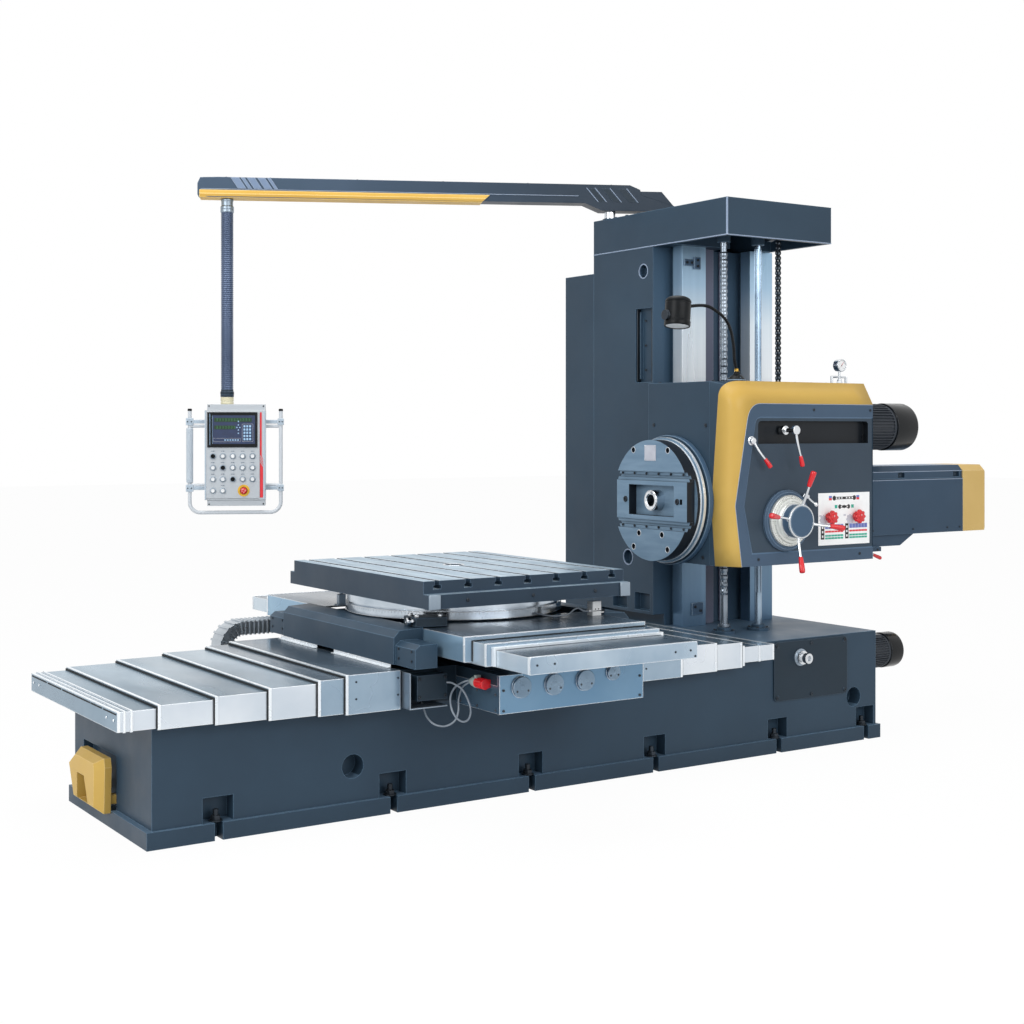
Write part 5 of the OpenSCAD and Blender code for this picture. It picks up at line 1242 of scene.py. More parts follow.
def build_lever(node, pivot, turn, lean, reach, grip_length, head):
    """Boss, arm and grip of a lever whose arm starts at pivot, in mm."""
    start = mm(*pivot)
    along = lean_direction(turn, lean)
    boss = place_at(mm(pivot[0], -499.5, pivot[2]), FORWARD)
    piece(node + "_arm", "chrome", node, turned(head, boss, 36),
          arm(start, along, reach - grip_length + 8, 8.5, 5.8, 4), bevel=0.5, instead_of=node)
    piece(node + "_grip", "red_plastic", node,
          grip(start + along * ((reach - grip_length) / 1000), along, grip_length, 12.5))


build_lever("speed_lever_left", (1155, -512, 1642), 146, 12, 172, 56,
            [(0, 0), (24, 0), (24, 4), (18, 6), (18, 20), (14, 24), (0, 24)])
build_lever("speed_lever_right", (1398, -574, 1697), 165, 0, 198, 58,
            [(0, -30), (24, -30), (24, 2), (12, 6), (11.5, 62), (22, 64), (24.5, 67), (24.5, 84),
             (22, 87), (0, 87)])
along = lean_direction(130, 8)
pivot = mm(1524, -530, 1345)
piece("feed_lever_small_arm", "chrome", "feed_lever_small",
      turned([(0, 0), (16, 0), (16, 18), (12, 22), (12, 36), (9, 40), (0, 40)],
             place_at(mm(1524, -499.5, 1345), FORWARD), 28),
      arm(pivot, along, 62, 6.5, 5, 2),
      turned([(0, 0), (7, 1), (11, 6), (12.5, 13), (11, 20), (7, 25), (0, 26)],
             place_at(pivot + along * 0.055, along)), bevel=0.5, instead_of="feed_lever_small")
along = lean_direction(110, 0)
pivot = mm(2330, -164, 999)
piece("lower_lever_arm", "chrome", "lower_lever",
      bar((2330, -172, 999), (2330, -140.3, 999), 11, 24),
      bar((2330, -142, 999), (2330, -106, 999), 6, 16),
      arm(pivot, along, 88, 7.5, 6, 2), bevel=0.5, instead_of="lower_lever")
piece("lower_lever_grip", "red_plastic", "lower_lever", grip(pivot + along * 0.08, along, 70, 11.5))
print("levers: 4")

# %% [markdown]
# ## Capstan
# Four spokes turn a hub that feeds the spindle. Behind the hub stand bright graduated rings on a
# blue flange. All rings are turned from one axis, so each is a profile spun round it, and the
# graduations are fine black marks set on their rims.

# %% Build the capstan
HUB = mm(1400, -496.3, 1220)
SPOKE_ROOT = HUB + mm(0, -84, 0)
SPOKES = [lean_direction(9 + 90 * k, 18) for k in range(4)]
axis = place_at(HUB, FORWARD)
piece("capstan_flange", "panel_rim_paint", "capstan",
      turned([(0, 0), (160, 0), (162, 3), (162, 16), (158, 20), (150, 26.2), (138, 26.2), (136, 22),
              (0, 22)], axis, 96), angle=25, instead_of="capstan")
piece("capstan_scale_rings", "scale_steel", "capstan",
      turned([(135, 20), (135, 38), (133, 41), (121, 43), (119, 41), (118, 46), (116, 54.5),
              (114, 56), (104, 57), (102, 55), (100, 60), (98, 64.5), (96, 65.5), (84, 65.5),
              (84, 50)], axis, 96), angle=25)
graduations = []
for k in range(72):
    reach = 12 if k % 6 == 0 else 7
    marks = [(-0.6, 134.9, 38 - reach, 0.6, 135.3, 37),
             (-0.6, 132.5 - reach * 0.8, 41.5, 0.6, 131.8, 43.4)]
    if k % 2 == 0:
        marks.append((-0.6, 117.2, 46, 0.6, 118.2, 53.5))
    graduations.append(blocks(*marks, place=spin(axis, 5 * k)))
piece("capstan_graduations", "label_black", "capstan", *graduations)
piece("capstan_hub", "hub_blue_paint", "capstan",
      turned([(70, 60), (88, 60), (88, 112), (86.5, 115), (83, 115.5), (81, 115.5), (80, 123.5),
              (78, 125.5), (0, 125.5)], axis, 80), angle=25)
spokes = []
for along in SPOKES:
    start = SPOKE_ROOT + along * 0.066
    spokes += [turned([(0, 0), (13.5, 0), (13.5, 20), (11.5, 26), (0, 26)],
                      place_at(start, along), 24), arm(start, along, 142, 8.5, 6.2, 3)]
piece("capstan_spokes", "chrome", "capstan",
      turned([(81, 114), (88.5, 114), (89.2, 116), (89.2, 121), (87.5, 123.2), (81, 123.5),
              (81, 114)], axis, 80),
      turned([(87, 62), (90.5, 62), (90.5, 70), (87, 71)], axis, 80), *spokes, bevel=0.5, angle=25)
piece("capstan_grips", "red_plastic", "capstan",
      *[grip(SPOKE_ROOT + along * 0.194, along, 86, 15.5) for along in SPOKES])
print("capstan: flange, rings,", len(graduations), "graduations, hub,", len(SPOKES), "spokes")

# %% [markdown]
# ## Facing head details
# The facing head is a turned disc with a wide cross slide. Sunk screws hold its plates, a bright
# register ring shows behind its rim, and the spindle's nose has a ground collar. A small
# blank plate is pinned on above the spindle.

# %% Add screws, plate and collars to the facing head
HEAD_Z = 1320
SUNK = [(y * s, HEAD_Z + z) for y, z in ((147, 270), (98, -180), (145, -256)) for s in (1, -1)]
piece("facing_head_screws", "dark_steel", "faceplate",
      screws(LEFT, 11.5, 12, [(905, y, z) for y, z in SUNK]), bevel=0.5)
disc = place_at(mm(885, 0, HEAD_Z), RIGHT)
# The thin near white rings are partly painted highlights on the edges of the counterbores and the
# rim.
piece("facing_head_bright_rings", "hem_steel", "faceplate",
      *[turned([(15, 0), (15, 0.8), (17.5, 0.8), (18, 0), (15, 0)],
               place_at(mm(884.9, y, z), LEFT), 28) for y, z in SUNK],
      turned([(337.2, 88.5), (338.4, 88), (338.4, 103.5), (337.2, 104)], disc, 128),
      turned([(325.2, 74.5), (326.2, 74.5), (326.2, 86), (325.2, 86)], disc, 128))
piece("facing_head_blank_plate", "label_grey", "faceplate",
      blocks((882.6, -48, 1533, 884.9, 48, 1617), (881.8, -42, 1539, 882.8, 42, 1611)), bevel=0.8)
piece("facing_head_plate_pins", "chrome", "faceplate",
      *[turned([(4.2, 0), (3.8, 1.8), (2, 2.4), (0, 2.4)], place_at(mm(882.6, y, z), LEFT), 14)
        for y, z in grid((-43, 43), (1538, 1612))])
piece("facing_head_gib_screws", "dark_steel", "faceplate",
      screws(LEFT, 7, 4, [(900.5, y, z) for z in (HEAD_Z - 143, HEAD_Z + 143)
                          for y in range(-260, 261, 104)]))
nose = place_at(mm(886.9, 0, HEAD_Z), RIGHT)
piece("spindle_nose_collar", "chrome", "boring_spindle",
      turned([(34, 0), (47, 0), (53, 3), (54.6, 6), (54.6, 1.5), (50, -3), (37, -4), (33, -1),
              (33, 6), (34, 6)], nose, 64),
      blocks((883.4, -49, 1312, 887.5, -37, 1328), (883.4, 37, 1312, 887.5, 49, 1328)),
      bevel=0.6, angle=25)
piece("spindle_nose_taper", "turned_steel", "boring_spindle",
      turned([(31.8, 2), (26, 70), (22, 130), (22, 146), (0, 146)], nose, 48), angle=25)
piece("facing_slide_plugs", "dark_steel", "facing_slide",
      *[turned([(16.5, 0), (16.5, 3.5), (14, 5), (9, 5), (9, 1), (0, 1)],
               place_at(mm(888.8, y, HEAD_Z), LEFT), 28) for y in (-222, 222)])
piece("headstock_register_ring", "hub_blue_paint", "headstock",
      turned([(347.2, 0.3), (349.5, 0.8), (350.5, 6), (350.5, 28.5), (347.2, 28.5)],
             place_at(mm(999.7, 0, HEAD_Z), RIGHT), 128), angle=25)
print("facing head: screws, rings, plate, nose")

# %% [markdown]
# ## Column details
# The column is a plain box, so small things give it scale: screws on the bearing flanges, a stop
# block on the left guideway, a painted highlight down the cap's corner and doors on the cabinet.
# They are blocks, turned rings and screws that stand on the imported solids.

# %% Add the details to the column and its cap
piece("column_screws", "dark_steel", "machine",
      screws(UP, 6.5, 7, around(1300, -120, 606, 51, 45, 4) + around(1550, -120, 606, 50, 45, 4)),
      screws(UP, 10, 10, [(x, y, 2938) for y in range(380, 860, 110) for x in (1190, 1995)]),
      bevel=0.4)
piece("guideway_stop_blocks", "hub_blue_paint", "machine",
      blocks((1282, 191, 2622, 1352, 199, 2662), (1352, 187, 2606, 1398, 199, 2676),
             (1337, 191, 652, 1420, 199, 722)), bevel=2)
piece("guideway_stop_screws", "dark_steel", "machine",
      screws(FORWARD, 8, 7, [(1300, 191, 2642), (1334, 191, 2642), (1375, 187, 2624),
                             (1375, 187, 2658), (1358, 191, 700), (1398, 191, 676)]), bevel=0.4)
piece("column_front_strips", "strip_grey_paint", "machine",
      blocks((1445, 262, 590.2, 1556, 319.8, 2734.8), (1640, 306, 590.2, 1648, 319.8, 2734.8)),
      bevel=2)
# Painted highlight: a pale bar and strips stand for the light on the cap's corner and edges.
piece("column_cap_edge_highlight", "rib_paint", "machine",
      bar((1163, -303, 2737), (1163, -303, 2936), 6, 12),
      blocks((1160, -308.5, 2735, 1925, -306, 2741), (1157.5, -306, 2735, 1160, 884, 2741)),
      bevel=1)
piece("column_hole_rims", "rib_paint", "machine",
      *[turned([(r - 1, -6), (r - 1, 0.8), (r + 4, 0.8), (r + 5, 0), (r + 3, -4)],
               place_at(mm(1160, y, z), LEFT)) for z, y, r in ((2602, 410, 38), (966, 552, 42))])
piece("column_recess_rails", "dark_steel", "machine",
      blocks((1164, 334, 1976, 1186, 342, 2384), (1164, 466, 1976, 1186, 474, 2384)),
      screws(LEFT, 7, 6, [(1176, 404, z) for z in (2040, 2180, 2320)]), bevel=1)
piece("cabinet_vents", "dark_paint", "machine",
      blocks(*[(1290 + k * 44, 1173, z, 1318 + k * 44, 1176, z + 190)
               for z in (620, 2360) for k in range(11)]), bevel=1)
piece("cabinet_doors", "blue_paint", "machine",
      *[blocks((x0, 1173, 840, x1, 1179, 2330), (x0 + 28, 1179, 868, x1 - 28, 1181, 2302))
        for x0, x1 in ((1186, 1523), (1531, 1874))], bevel=2)
hinges = [bar((x, 1182, z), (x, 1182, z + 70), 8, 16)
          for x, z in grid((1184, 1876), (960, 1585, 2200))]
for x in (1505, 1549):
    hinges += [blocks((x - 9, 1181, 1540, x + 9, 1187, 1660)),
               bar((x, 1187, 1632), (x, 1205, 1632), 6, 16),
               blocks((x - 6, 1200, 1560, x + 6, 1208, 1640))]
piece("cabinet_hinges_and_handles", "satin_steel", "machine", *hinges, bevel=1)
print("column: screws, stop blocks, bead, rims, cabinet doors")

# %% [markdown]
# ## Counterweight chain
# A leaf chain runs from the headstock's top over the sprocket. Each link is two waisted plates on a
# pin. Flat outlines with thickness make the plates, because a link's waist is what the eye reads.
# The chain folds over the sprocket as the headstock moves, and here its pieces ride on no body and
# keep their place.

# %% Build the chain
PITCH, PLATE_RADIUS, WAIST, LINKS = 28, 12.5, 7.5, 30
CHAIN_LOW, CHAIN_END = 1960.5, 2806
half_circle = [math.radians(90 + 22.5 * k) for k in range(9)]
plate = [(PLATE_RADIUS * math.cos(a), PLATE_RADIUS * math.sin(a)) for a in half_circle]
plate += [(PITCH / 2, -WAIST)]
plate += [(PITCH - PLATE_RADIUS * math.cos(a), -PLATE_RADIUS * math.sin(a)) for a in half_circle]
plate += [(PITCH / 2, WAIST)]
plates, rollers = [], []
for i in range(LINKS):
    z = CHAIN_LOW + i * PITCH
    offset = 11 if i % 2 == 0 else 7
    if z + PITCH + PLATE_RADIUS < CHAIN_END:
        for side in (-1, 1):
            turn = Matrix(((0, 0, 1, (1700 + side * offset - 1.25) / 1000), (0, 1, 0, -0.120),
                           (1, 0, 0, z / 1000), (0, 0, 0, 1)))
            plates.append(flat(plate, 2.5, turn))
    rollers += [bar((1684.5, -120, z), (1715.5, -120, z), 5, 14),
                bar((1692.5, -120, z), (1707.5, -120, z), 8.5, 16)]
for chain in (piece("chain_plates", "dark_steel", None, *plates, bevel=0.4,
                    instead_of="counterweight_chain"),
              piece("chain_rollers", "satin_steel", None, *rollers)):
    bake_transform(chain)
print("chain:", LINKS, "links")

# %% [markdown]
# ## Work lamp
# A black lamp on a flexible neck stands on the headstock. The head is turned with a rolled rim and
# fins, and a glass disc closes its mouth. The neck is a tube whose radius ripples along its way,
# which gives the rings of a flexible hose without hundreds of parts.

# %% Build the work lamp
NECK = [(1192, -345, 1990), (1188, -346, 2020), (1172, -350, 2070), (1159, -358, 2142),
        (1129, -370, 2221), (1074, -385, 2282), (977, -402, 2328), (907, -414, 2340),
        (813, -427, 2332), (765, -431, 2318)]
path = eased([mm(*p) for p in NECK], 26)
piece("lamp_neck", "black_plastic", "work_lamp",
      lambda bm: add_tube(bm, path, lambda t: 0.0078 + 0.0012 * math.sin(t * math.tau * 58), 16),
      instead_of="work_lamp")
head_axis = Vector((-0.14, -0.10, -0.985)).normalized()
head = place_at(mm(722, -432, 2344) - head_axis * 0.030, head_axis)
piece("lamp_head", "black_plastic", "work_lamp",
      turned([(0, -1), (30, 0), (47, 3), (58, 9), (64.5, 17), (66.5, 22), (66.8, 27), (64, 29),
              (64, 34), (66, 36), (65.5, 80), (65, 120), (65.5, 124), (67.2, 128), (67.2, 146),
              (65.5, 152), (62.2, 153), (60, 150), (58.5, 100), (30, 60), (0, 56)], head, 56),
      angle=30)
piece("lamp_glass", "white_plastic", "work_lamp",
      turned([(0, 146), (58.8, 146), (60, 147.5), (58.8, 149), (0, 151.5)], head, 48), angle=30)
piece("lamp_knob", "dark_steel", "work_lamp",
      turned([(0, 0), (26.2, 0), (26.2, 3), (22, 5), (22, 9), (26.2, 11), (26.2, 16), (22, 18),
              (22, 22), (26.2, 24), (26.2, 28), (0, 30)], place_at(mm(661, -432, 2280), LEFT), 36),
      blocks(*[(636, -436, z, 652, -405, z + 6) for z in (2262, 2276, 2290)]), bevel=0.5, angle=30)
foot = place_at(mm(1192, -345, 1955.4))
piece("lamp_foot", "black_plastic", "work_lamp",
      turned([(0, 0), (46, 0), (46, 12.5), (44.5, 14.5), (42, 16.6), (34, 26), (22, 36.6),
              (15.5, 38), (13.5, 52), (11, 56), (0, 56)], foot, 48), angle=30)
piece("lamp_foot_ring", "hub_blue_paint", "work_lamp",
      turned([(46.2, 3), (46.8, 4), (46.8, 10), (46.2, 11), (46.2, 3)], foot, 48),
      screws(UP, 4.5, 5, around(1192, -345, 1972, 36, 20, 3)))
piece("lamp_neck_nut", "amber_plastic", "work_lamp",
      turned([(0, 0), (12.5, 0), (14, 3), (14, 15), (12.5, 18), (0, 18)],
             place_at(mm(1192, -345, 1993)), 6),
      turned([(0, 0), (10.5, 0), (10.5, 11), (0, 12)], place_at(mm(1191, -345, 2011)), 24),
      bevel=0.4)
print("lamp: head, glass, neck of", len(path), "rings, foot")

# %% [markdown]
# ## Gauge and tail
# The gauge has a white dial behind a chromed bezel. The spindle's tail housing is a sheet metal
# cover with a folded lip, screws and a mustard end cap, so it gets thin strips and screws only.

# %% Build the gauge and the details of the tail
dial = place_at(mm(1996, -315.8, 2060), FORWARD)
piece("gauge_bezel", "chrome", "headstock",
      turned([(30, 0), (34.5, 0), (35.2, 1.5), (35.2, 4.5), (33.8, 6), (31, 6), (30, 4.2), (30, 0)],
             dial, 56),
      *[turned([(0, 0), (r, 0), (r, 10), (r * 0.85, 12), (0, 12)], place_at(mm(1996, -300, z)), 6)
        for z, r in ((1958, 18), (1972, 13), (2022, 11))], bevel=0.3, angle=30)
piece("gauge_dial", "label_white", "headstock",
      turned([(0, 0), (30.1, 0), (30.1, 1.2), (0, 1.2)], dial, 48))
piece("gauge_ticks", "label_black", "headstock",
      *[blocks((-0.5, 21.5 if k % 5 == 0 else 24.5, 1.2, 0.5, 28.5, 1.6),
               place=spin(dial, -135 + 13.5 * k)) for k in range(21)],
      turned([(0, 1.2), (2.8, 1.2), (2.8, 3), (0, 3)], dial, 16))
piece("gauge_needle", "label_red", "headstock",
      flat([(-1.4, -6), (1.4, -6), (0.4, 23), (-0.4, 23)], 0.6,
           spin(dial, -40) @ Matrix.Translation(mm(0, 0, 2))))
piece("tail_housing_edge_lines", "rib_paint", "headstock",
      blocks((2050.5, -144.5, 1448, 3199, -141, 1452), (2050.5, -151.8, 1399, 3199, -149.8, 1403)),
      flat([(2050.5, 1168), (2110, 1168), (2170, 1140), (2190, 1112), (2190, 1085), (2187, 1085),
            (2187, 1111), (2168, 1137), (2109, 1165), (2050.5, 1165)], 1.5, facing_front(-150)),
      bevel=0.6)
piece("tail_housing_screws", "dark_steel", "headstock",
      screws(FORWARD, 6, 4, [(x, -150, 1108) for x in (2090, 2420, 2760, 3060, 3170)]),
      screws(FORWARD, 6, 4, [(x, -140, 996) for x in (2100, 2300, 2470)]),
      screws(RIGHT, 8, 5, [(3420, y, z) for z in (1124, 1430) for y in (-108, 148)]), bevel=0.4)
latches = []
for x in (2668, 3148):
    latches += [blocks((x - 24, -128, 1417, x + 24, -121, 1443)),
                bar((x, -134, 1430), (x, -127, 1430), 8, 18)]
piece("tail_housing_latches", "dark_paint", "headstock", *latches, bevel=1)
print("gauge: dial with 21 ticks; tail: edge lines, screws, latches")

# %% [markdown]
# ## Boom
# The boom is a folded box in its own frame: local X runs from the post to the tip. A mustard
# moulding wraps its lower edge from the tip to half way, and slanted ribs are pressed into both
# ends. The moulding is one profile extruded along X with a slanted end, and the ribs are slanted
# outlines with a little thickness on both sides.

# %% Build the boom's moulding, ribs and screws
BOOM = spin(Matrix.Translation(mm(1252, 848, 0)), 154)
MOULDING_START, MOULDING_END, MOULDING_SLANT = 775, 2402, 1.1
HALF_MOULDING = [(63.5, 3076.5), (65.5, 3074), (65.5, 3056), (66.5, 3054), (65.5, 3051.5),
                 (57, 3034), (54.5, 3032.5)]


def add_moulding(bm):
    """The moulding's YZ section from its slanted start to the tip."""
    section = [(-y, z) for y, z in HALF_MOULDING] + HALF_MOULDING[::-1]
    foot = min(z for y, z in section)
    near = [bm.verts.new(BOOM @ mm(MOULDING_START - MOULDING_SLANT * (z - foot), y, z))
            for y, z in section]
    far = [bm.verts.new(BOOM @ mm(MOULDING_END, y, z)) for y, z in section]
    bm.faces.new(near)
    bm.faces.new(list(reversed(far)))
    close_rows(bm, near, far)


def slanted_ribs(spans, low, high, lean, height):
    """Slanted ribs on both sides of the boom; their feet are shifted by lean."""
    ribs = []
    for side in (-1, 1):
        turn = BOOM @ Matrix(((1, 0, 0, 0), (0, 0, side, side * 0.06), (0, 1, 0, 0), (0, 0, 0, 1)))
        ribs += [flat([(x0 + lean, low), (x1 + lean, low), (x1, high), (x0, high)], height, turn)
                 for x0, x1 in spans]
    return ribs


piece("boom_moulding", "moulding_gold_paint", "boom_arm", add_moulding, bevel=1.2, angle=25)
piece("boom_root_lid", "boom_finish", "boom_arm",
      flat([(-379, 3032.5), (-372, 3036), (-303, 3115.5), (-172, 3115.5), (-176.5, 3092.5)], 116,
           BOOM @ facing_front(58)), bevel=1.5)
piece("boom_post_sleeve", "chrome", "machine",
      turned([(32.1, 0), (33.5, 1), (33.5, 90), (32.1, 91.5), (32.1, 0)],
             place_at(mm(1252, 848, 2938.2))))
piece("boom_edge_strips", "rib_paint", "boom_arm",
      blocks((200, -61.8, 3080, 2395, -59.8, 3083.5), (200, 59.8, 3080, 2395, 61.8, 3083.5),
             place=BOOM), bevel=0.6)
piece("boom_tip_ribs", "rib_paint", "boom_arm",
      *slanted_ribs(((2178, 2226), (2146, 2168), (2088, 2134), (2030, 2074), (1998, 2018)),
                    3086, 3149, -42, 3), bevel=0.8)
piece("boom_root_rib_edges", "rib_paint", "boom_arm",
      *slanted_ribs([(x, x + 6) for x in (148, 98, 8, -92)], 3048, 3130, -70, 2.8), bevel=0.5)
piece("boom_root_ribs", "dark_paint", "boom_arm",
      *slanted_ribs(((106, 144), (18, 62), (-80, -34)), 3050, 3128, -70, 1.6), bevel=0.5)
piece("boom_lid_screws", "dark_steel", "boom_arm",
      screws(UP, 5, 4, [(x, y, 3150.8 if x > -120 else 3134)
                        for x in (-150, 0, 500, 1000, 1500, 2000, 2250) for y in (-42, 42)], BOOM),
      bevel=0.3)
print("boom: moulding, strips, ribs")

# %% [markdown]
# ## Conduit
# A flexible metal conduit hangs from the boom's tip and carries the pendant and its cables. It is
# wound from a folded strip, so its outline is a row of round ridges. A turned profile with one
# ridge for each turn of the strip gives that in one mesh.

# %% Build the conduit
HOSE = place_at(mm(-768.5, 1833.5, 0))
HOSE_LOW, HOSE_TOP, TURNS = 1905, 2958, 92
pitch = (HOSE_TOP - HOSE_LOW) / TURNS
profile = [(0, HOSE_LOW)]
for k in range(TURNS):
    z = HOSE_LOW + k * pitch
    profile += [(31.8, z), (35, z + pitch * 0.22), (35.8, z + pitch * 0.5), (35, z + pitch * 0.78)]
profile += [(31.8, HOSE_TOP), (0, HOSE_TOP)]
piece("conduit_hose", "conduit_steel", "pendant", turned(profile, HOSE, 32), angle=60,
      instead_of="conduit")
FITTINGS = (
    ("conduit_top_fitting", "satin_steel",
     [(0, 2953), (36, 2953), (38.5, 2957), (38.5, 2970), (36.5, 2972), (38.5, 2974), (38.5, 2986),
      (36, 2990), (33.5, 2992), (33.5, 3018), (35.5, 3020), (35.5, 3030), (20, 3030.2), (20, 3058),
      (0, 3058)]),
    ("conduit_low_fitting", "dark_paint",
     [(0, 1889), (37, 1889), (38.5, 1891), (38.5, 1899), (36.5, 1901), (39.2, 1903), (39.2, 1918),
      (36, 1921), (35, 1931), (0, 1932)]),
    ("conduit_low_ring", "cream_coat",
     [(0, 1846.2), (35.5, 1846.2), (37.2, 1848), (37.2, 1858), (35, 1860), (35, 1864),
      (37.5, 1866), (37.5, 1884), (36, 1888), (0, 1889.5)]))
for name, material, profile in FITTINGS:
    piece(name, material, "pendant", turned(profile, HOSE, 48), bevel=0.5, angle=30)
print("conduit: hose with", TURNS, "ridges and", len(FITTINGS), "fittings")

# %% [markdown]
# ## Pendant
# The pendant is an aluminium box that faces the operator. Its frame here has X to the right, Y to
# the back and Z up, so its parts can be laid out like a drawing. The display is generic: dim
# figure windows, a keypad and a few keys. Bezels, windows and keys stand proud by half a
# millimetre, because at this size an edge reads better than a painted line.

# %% Build the pendant's front
DESK = spin(Matrix.Translation(mm(-768.5 + 48 * 0.8988, 1833.5 - 48 * 0.4384, 0)), -26)
FACE = -61.0


def front_blocks(name, boxes, material, out, back, bevel=0.3):
    """A piece of blocks on the pendant's front, each x0, x1, z0, z1, out to back mm before it."""
    piece(name, material, "pendant",
          blocks(*[(x0, FACE - out, z0, x1, FACE - back, z1) for x0, x1, z0, z1 in boxes],
                 place=DESK), bevel=bevel)


front_blocks("pendant_screen_bezel", [(-157, 127, 1598, 1801)], "black_gloss_paint", 7, 0.2, 2)
front_blocks("pendant_screen", [(-126, 113, 1618, 1782)], "screen_blue", 7.8, 6.8)
front_blocks("pendant_screen_edge_light", [(-143, -140.5, 1612, 1792), (-129, -127.5, 1618, 1782)],
             "key_blue", 7.5, 6.8)
front_blocks("pendant_figure_windows", [(-118, 95, 1744, 1768), (-118, 0, 1702, 1724)],
             "label_green", 8.4, 7.6)
bars = []
for z, count in ((1750, 12), (1707, 7)):
    for k in range(count):
        x = -106 + k * 16.5
        bars += [(x, x + 7, z + rise, z + rise + 1.2) for rise in (0, 6, 12)]
        bars.append((x + 6.8, x + 8, z, z + 13.2))
front_blocks("pendant_figures", bars, "digit_green", 8.8, 8.3, 0)
keys = [(48 + 16 * column, 59 + 16 * column, 1639 + 18.5 * row, 1651.5 + 18.5 * row)
        for column in range(3) for row in range(5)]
keys += [(-60 + k * 14.5, -51 + k * 14.5, 1637, 1644) for k in range(6)]
keys += [(x, x + 7, z, z + 7) for x, z in ((15.5, 1723.5), (7.5, 1709), (23.5, 1709),
                                           (15.5, 1694.5), (15.5, 1676), (15.5, 1744))]
front_blocks("pendant_keys", keys, "key_blue", 9.4, 7.7, 0.8)
front_blocks("pendant_key_frames", [
    (40.5, 101.5, 1632, 1633.2), (40.5, 101.5, 1731.8, 1733), (40, 41.2, 1632.5, 1732.5),
    (100.8, 102, 1632.5, 1732.5), (-122, 30, 1650, 1651), (-122, 30, 1630, 1631),
    (-122.5, -121.5, 1630, 1651), (29.5, 30.5, 1630, 1651)], "label_grey", 8.4, 7.7, 0)
front_blocks("pendant_side_strips", [(-172.5, -163, 1298, 1810), (159, 172.5, 1298, 1810)],
             "grey_coat", -3.5, -6.5, 1)
print("pendant screen:", len(keys), "keys")

# %% [markdown]
# Under the screen stand the push buttons and the selectors in a grid, each in a turned ring, and
# the emergency stop in its own collar. All of them are turned on one axis that points out of the
# face, so each is a profile at its place in the grid.

# %% Build the buttons, the stop and the red strip
TO_OPERATOR = DESK.to_3x3() @ FORWARD
BUTTONS = [(c, r) for r in range(4) for c in range(2 if r == 3 else 5) if c != r or r == 3]
SELECTORS = [(0, 0), (1, 1), (2, 2)]


def cell(column, row):
    """Centre of a button place, as local X and Z in mm."""
    return -125 + 56 * column, 1548 - 66 * row


def on_face(column, row):
    """A place on the pendant's face that points to the operator."""
    x, z = cell(column, row)
    return place_at(DESK @ mm(x, FACE, z), TO_OPERATOR)


RING = [(11.8, 0), (17.8, 0), (17.8, 2.2), (16.8, 3.6), (13.8, 4.4), (12.5, 4.2), (11.8, 3),
        (11.8, 0)]
CAP = [(0, -14), (6.5, -14), (6.5, 5), (10.8, 5), (11, 13.5), (10.2, 14.8), (6, 14.2), (0, 14)]
marks = []
for column, row in BUTTONS + SELECTORS:
    x, z = cell(column, row)
    if row < 3 or column == 1:
        marks += [(x - 10, x - 3, z + 27, z + 30), (x - 0.5, x + 5, z + 26.2, z + 30.8),
                  (x + 7, x + 11, z + 27.5, z + 29.5)]
piece("pendant_button_rings", "satin_steel", "pendant",
      *[turned(RING, on_face(*spot), 36) for spot in BUTTONS + SELECTORS], angle=30)
front_blocks("pendant_button_marks", marks, "hub_blue_paint", 0.6, 0.1, 0)
piece("pendant_button_caps", "white_plastic", "push_buttons",
      *[turned(CAP, on_face(*spot), 32) for spot in BUTTONS], angle=30, instead_of="push_buttons")
stop = on_face(3.1, 3)
piece("pendant_stop_disc", "amber_plastic", "pendant",
      turned([(21.5, 0.1), (34, 0.1), (34, 0.8), (33.5, 1.2), (21.5, 1.2)], stop, 48))
piece("pendant_stop_collar", "black_plastic", "pendant",
      turned([(10, 0), (21.5, 0), (21.5, 3.4), (21, 5.5), (19.6, 5.8), (19.4, 1.6), (10, 1.6),
              (10, 0)], stop), angle=30)
piece("pendant_stop_button", "red_plastic", "emergency_stop",
      turned([(0, -14), (8.8, -14), (8.8, 7.8), (17.5, 8), (19, 10), (19, 17), (17.8, 20.8),
              (14, 23.4), (7, 24), (0, 24)], stop, 48), angle=30, instead_of="emergency_stop")
arrows = []
for half_turn in (0, 180):
    arrows += [blocks((-1.2, 8.5, 22.8, 1.4, 10.2, 24.3), place=spin(stop, half_turn + 22 * k))
               for k in range(5)]
    arrows.append(flat([(-1.5, 7), (3, 9.4), (-1.5, 11.6)], 1.6,
                       spin(stop, half_turn + 108) @ Matrix.Translation(mm(0, 0, 22.8))))
piece("pendant_stop_arrows", "label_white", "emergency_stop", *arrows)
STRIP = ([(140.5, 1800), (151, 1800), (151, 1545), (158.5, 1531), (158.5, 1524), (140.5, 1556)],
         [(140.5, 1548), (158.5, 1516), (158.5, 1508), (140.5, 1540)],
         [(140.5, 1532), (158.5, 1500), (158.5, 1492), (140.5, 1524)],
         [(140.5, 1516), (158.5, 1484), (158.5, 1309), (140.5, 1309)])
piece("pendant_red_strip", "label_red", "pendant",
      *[flat(outline, 1.2, DESK @ facing_front(FACE + 5.8)) for outline in STRIP], bevel=0.2)
print("pendant:", len(BUTTONS), "buttons,", len(SELECTORS), "selectors")

# %% [markdown]
# ## Pendant frame
# A bent tube guards the box and gives a handle on the left. The grip is a fluted sleeve, and two
# clamps on each side hold the tube to the box. Small end caps close the tube.

# %% Build the grip, the clamps and the caps
FLUTES = 20


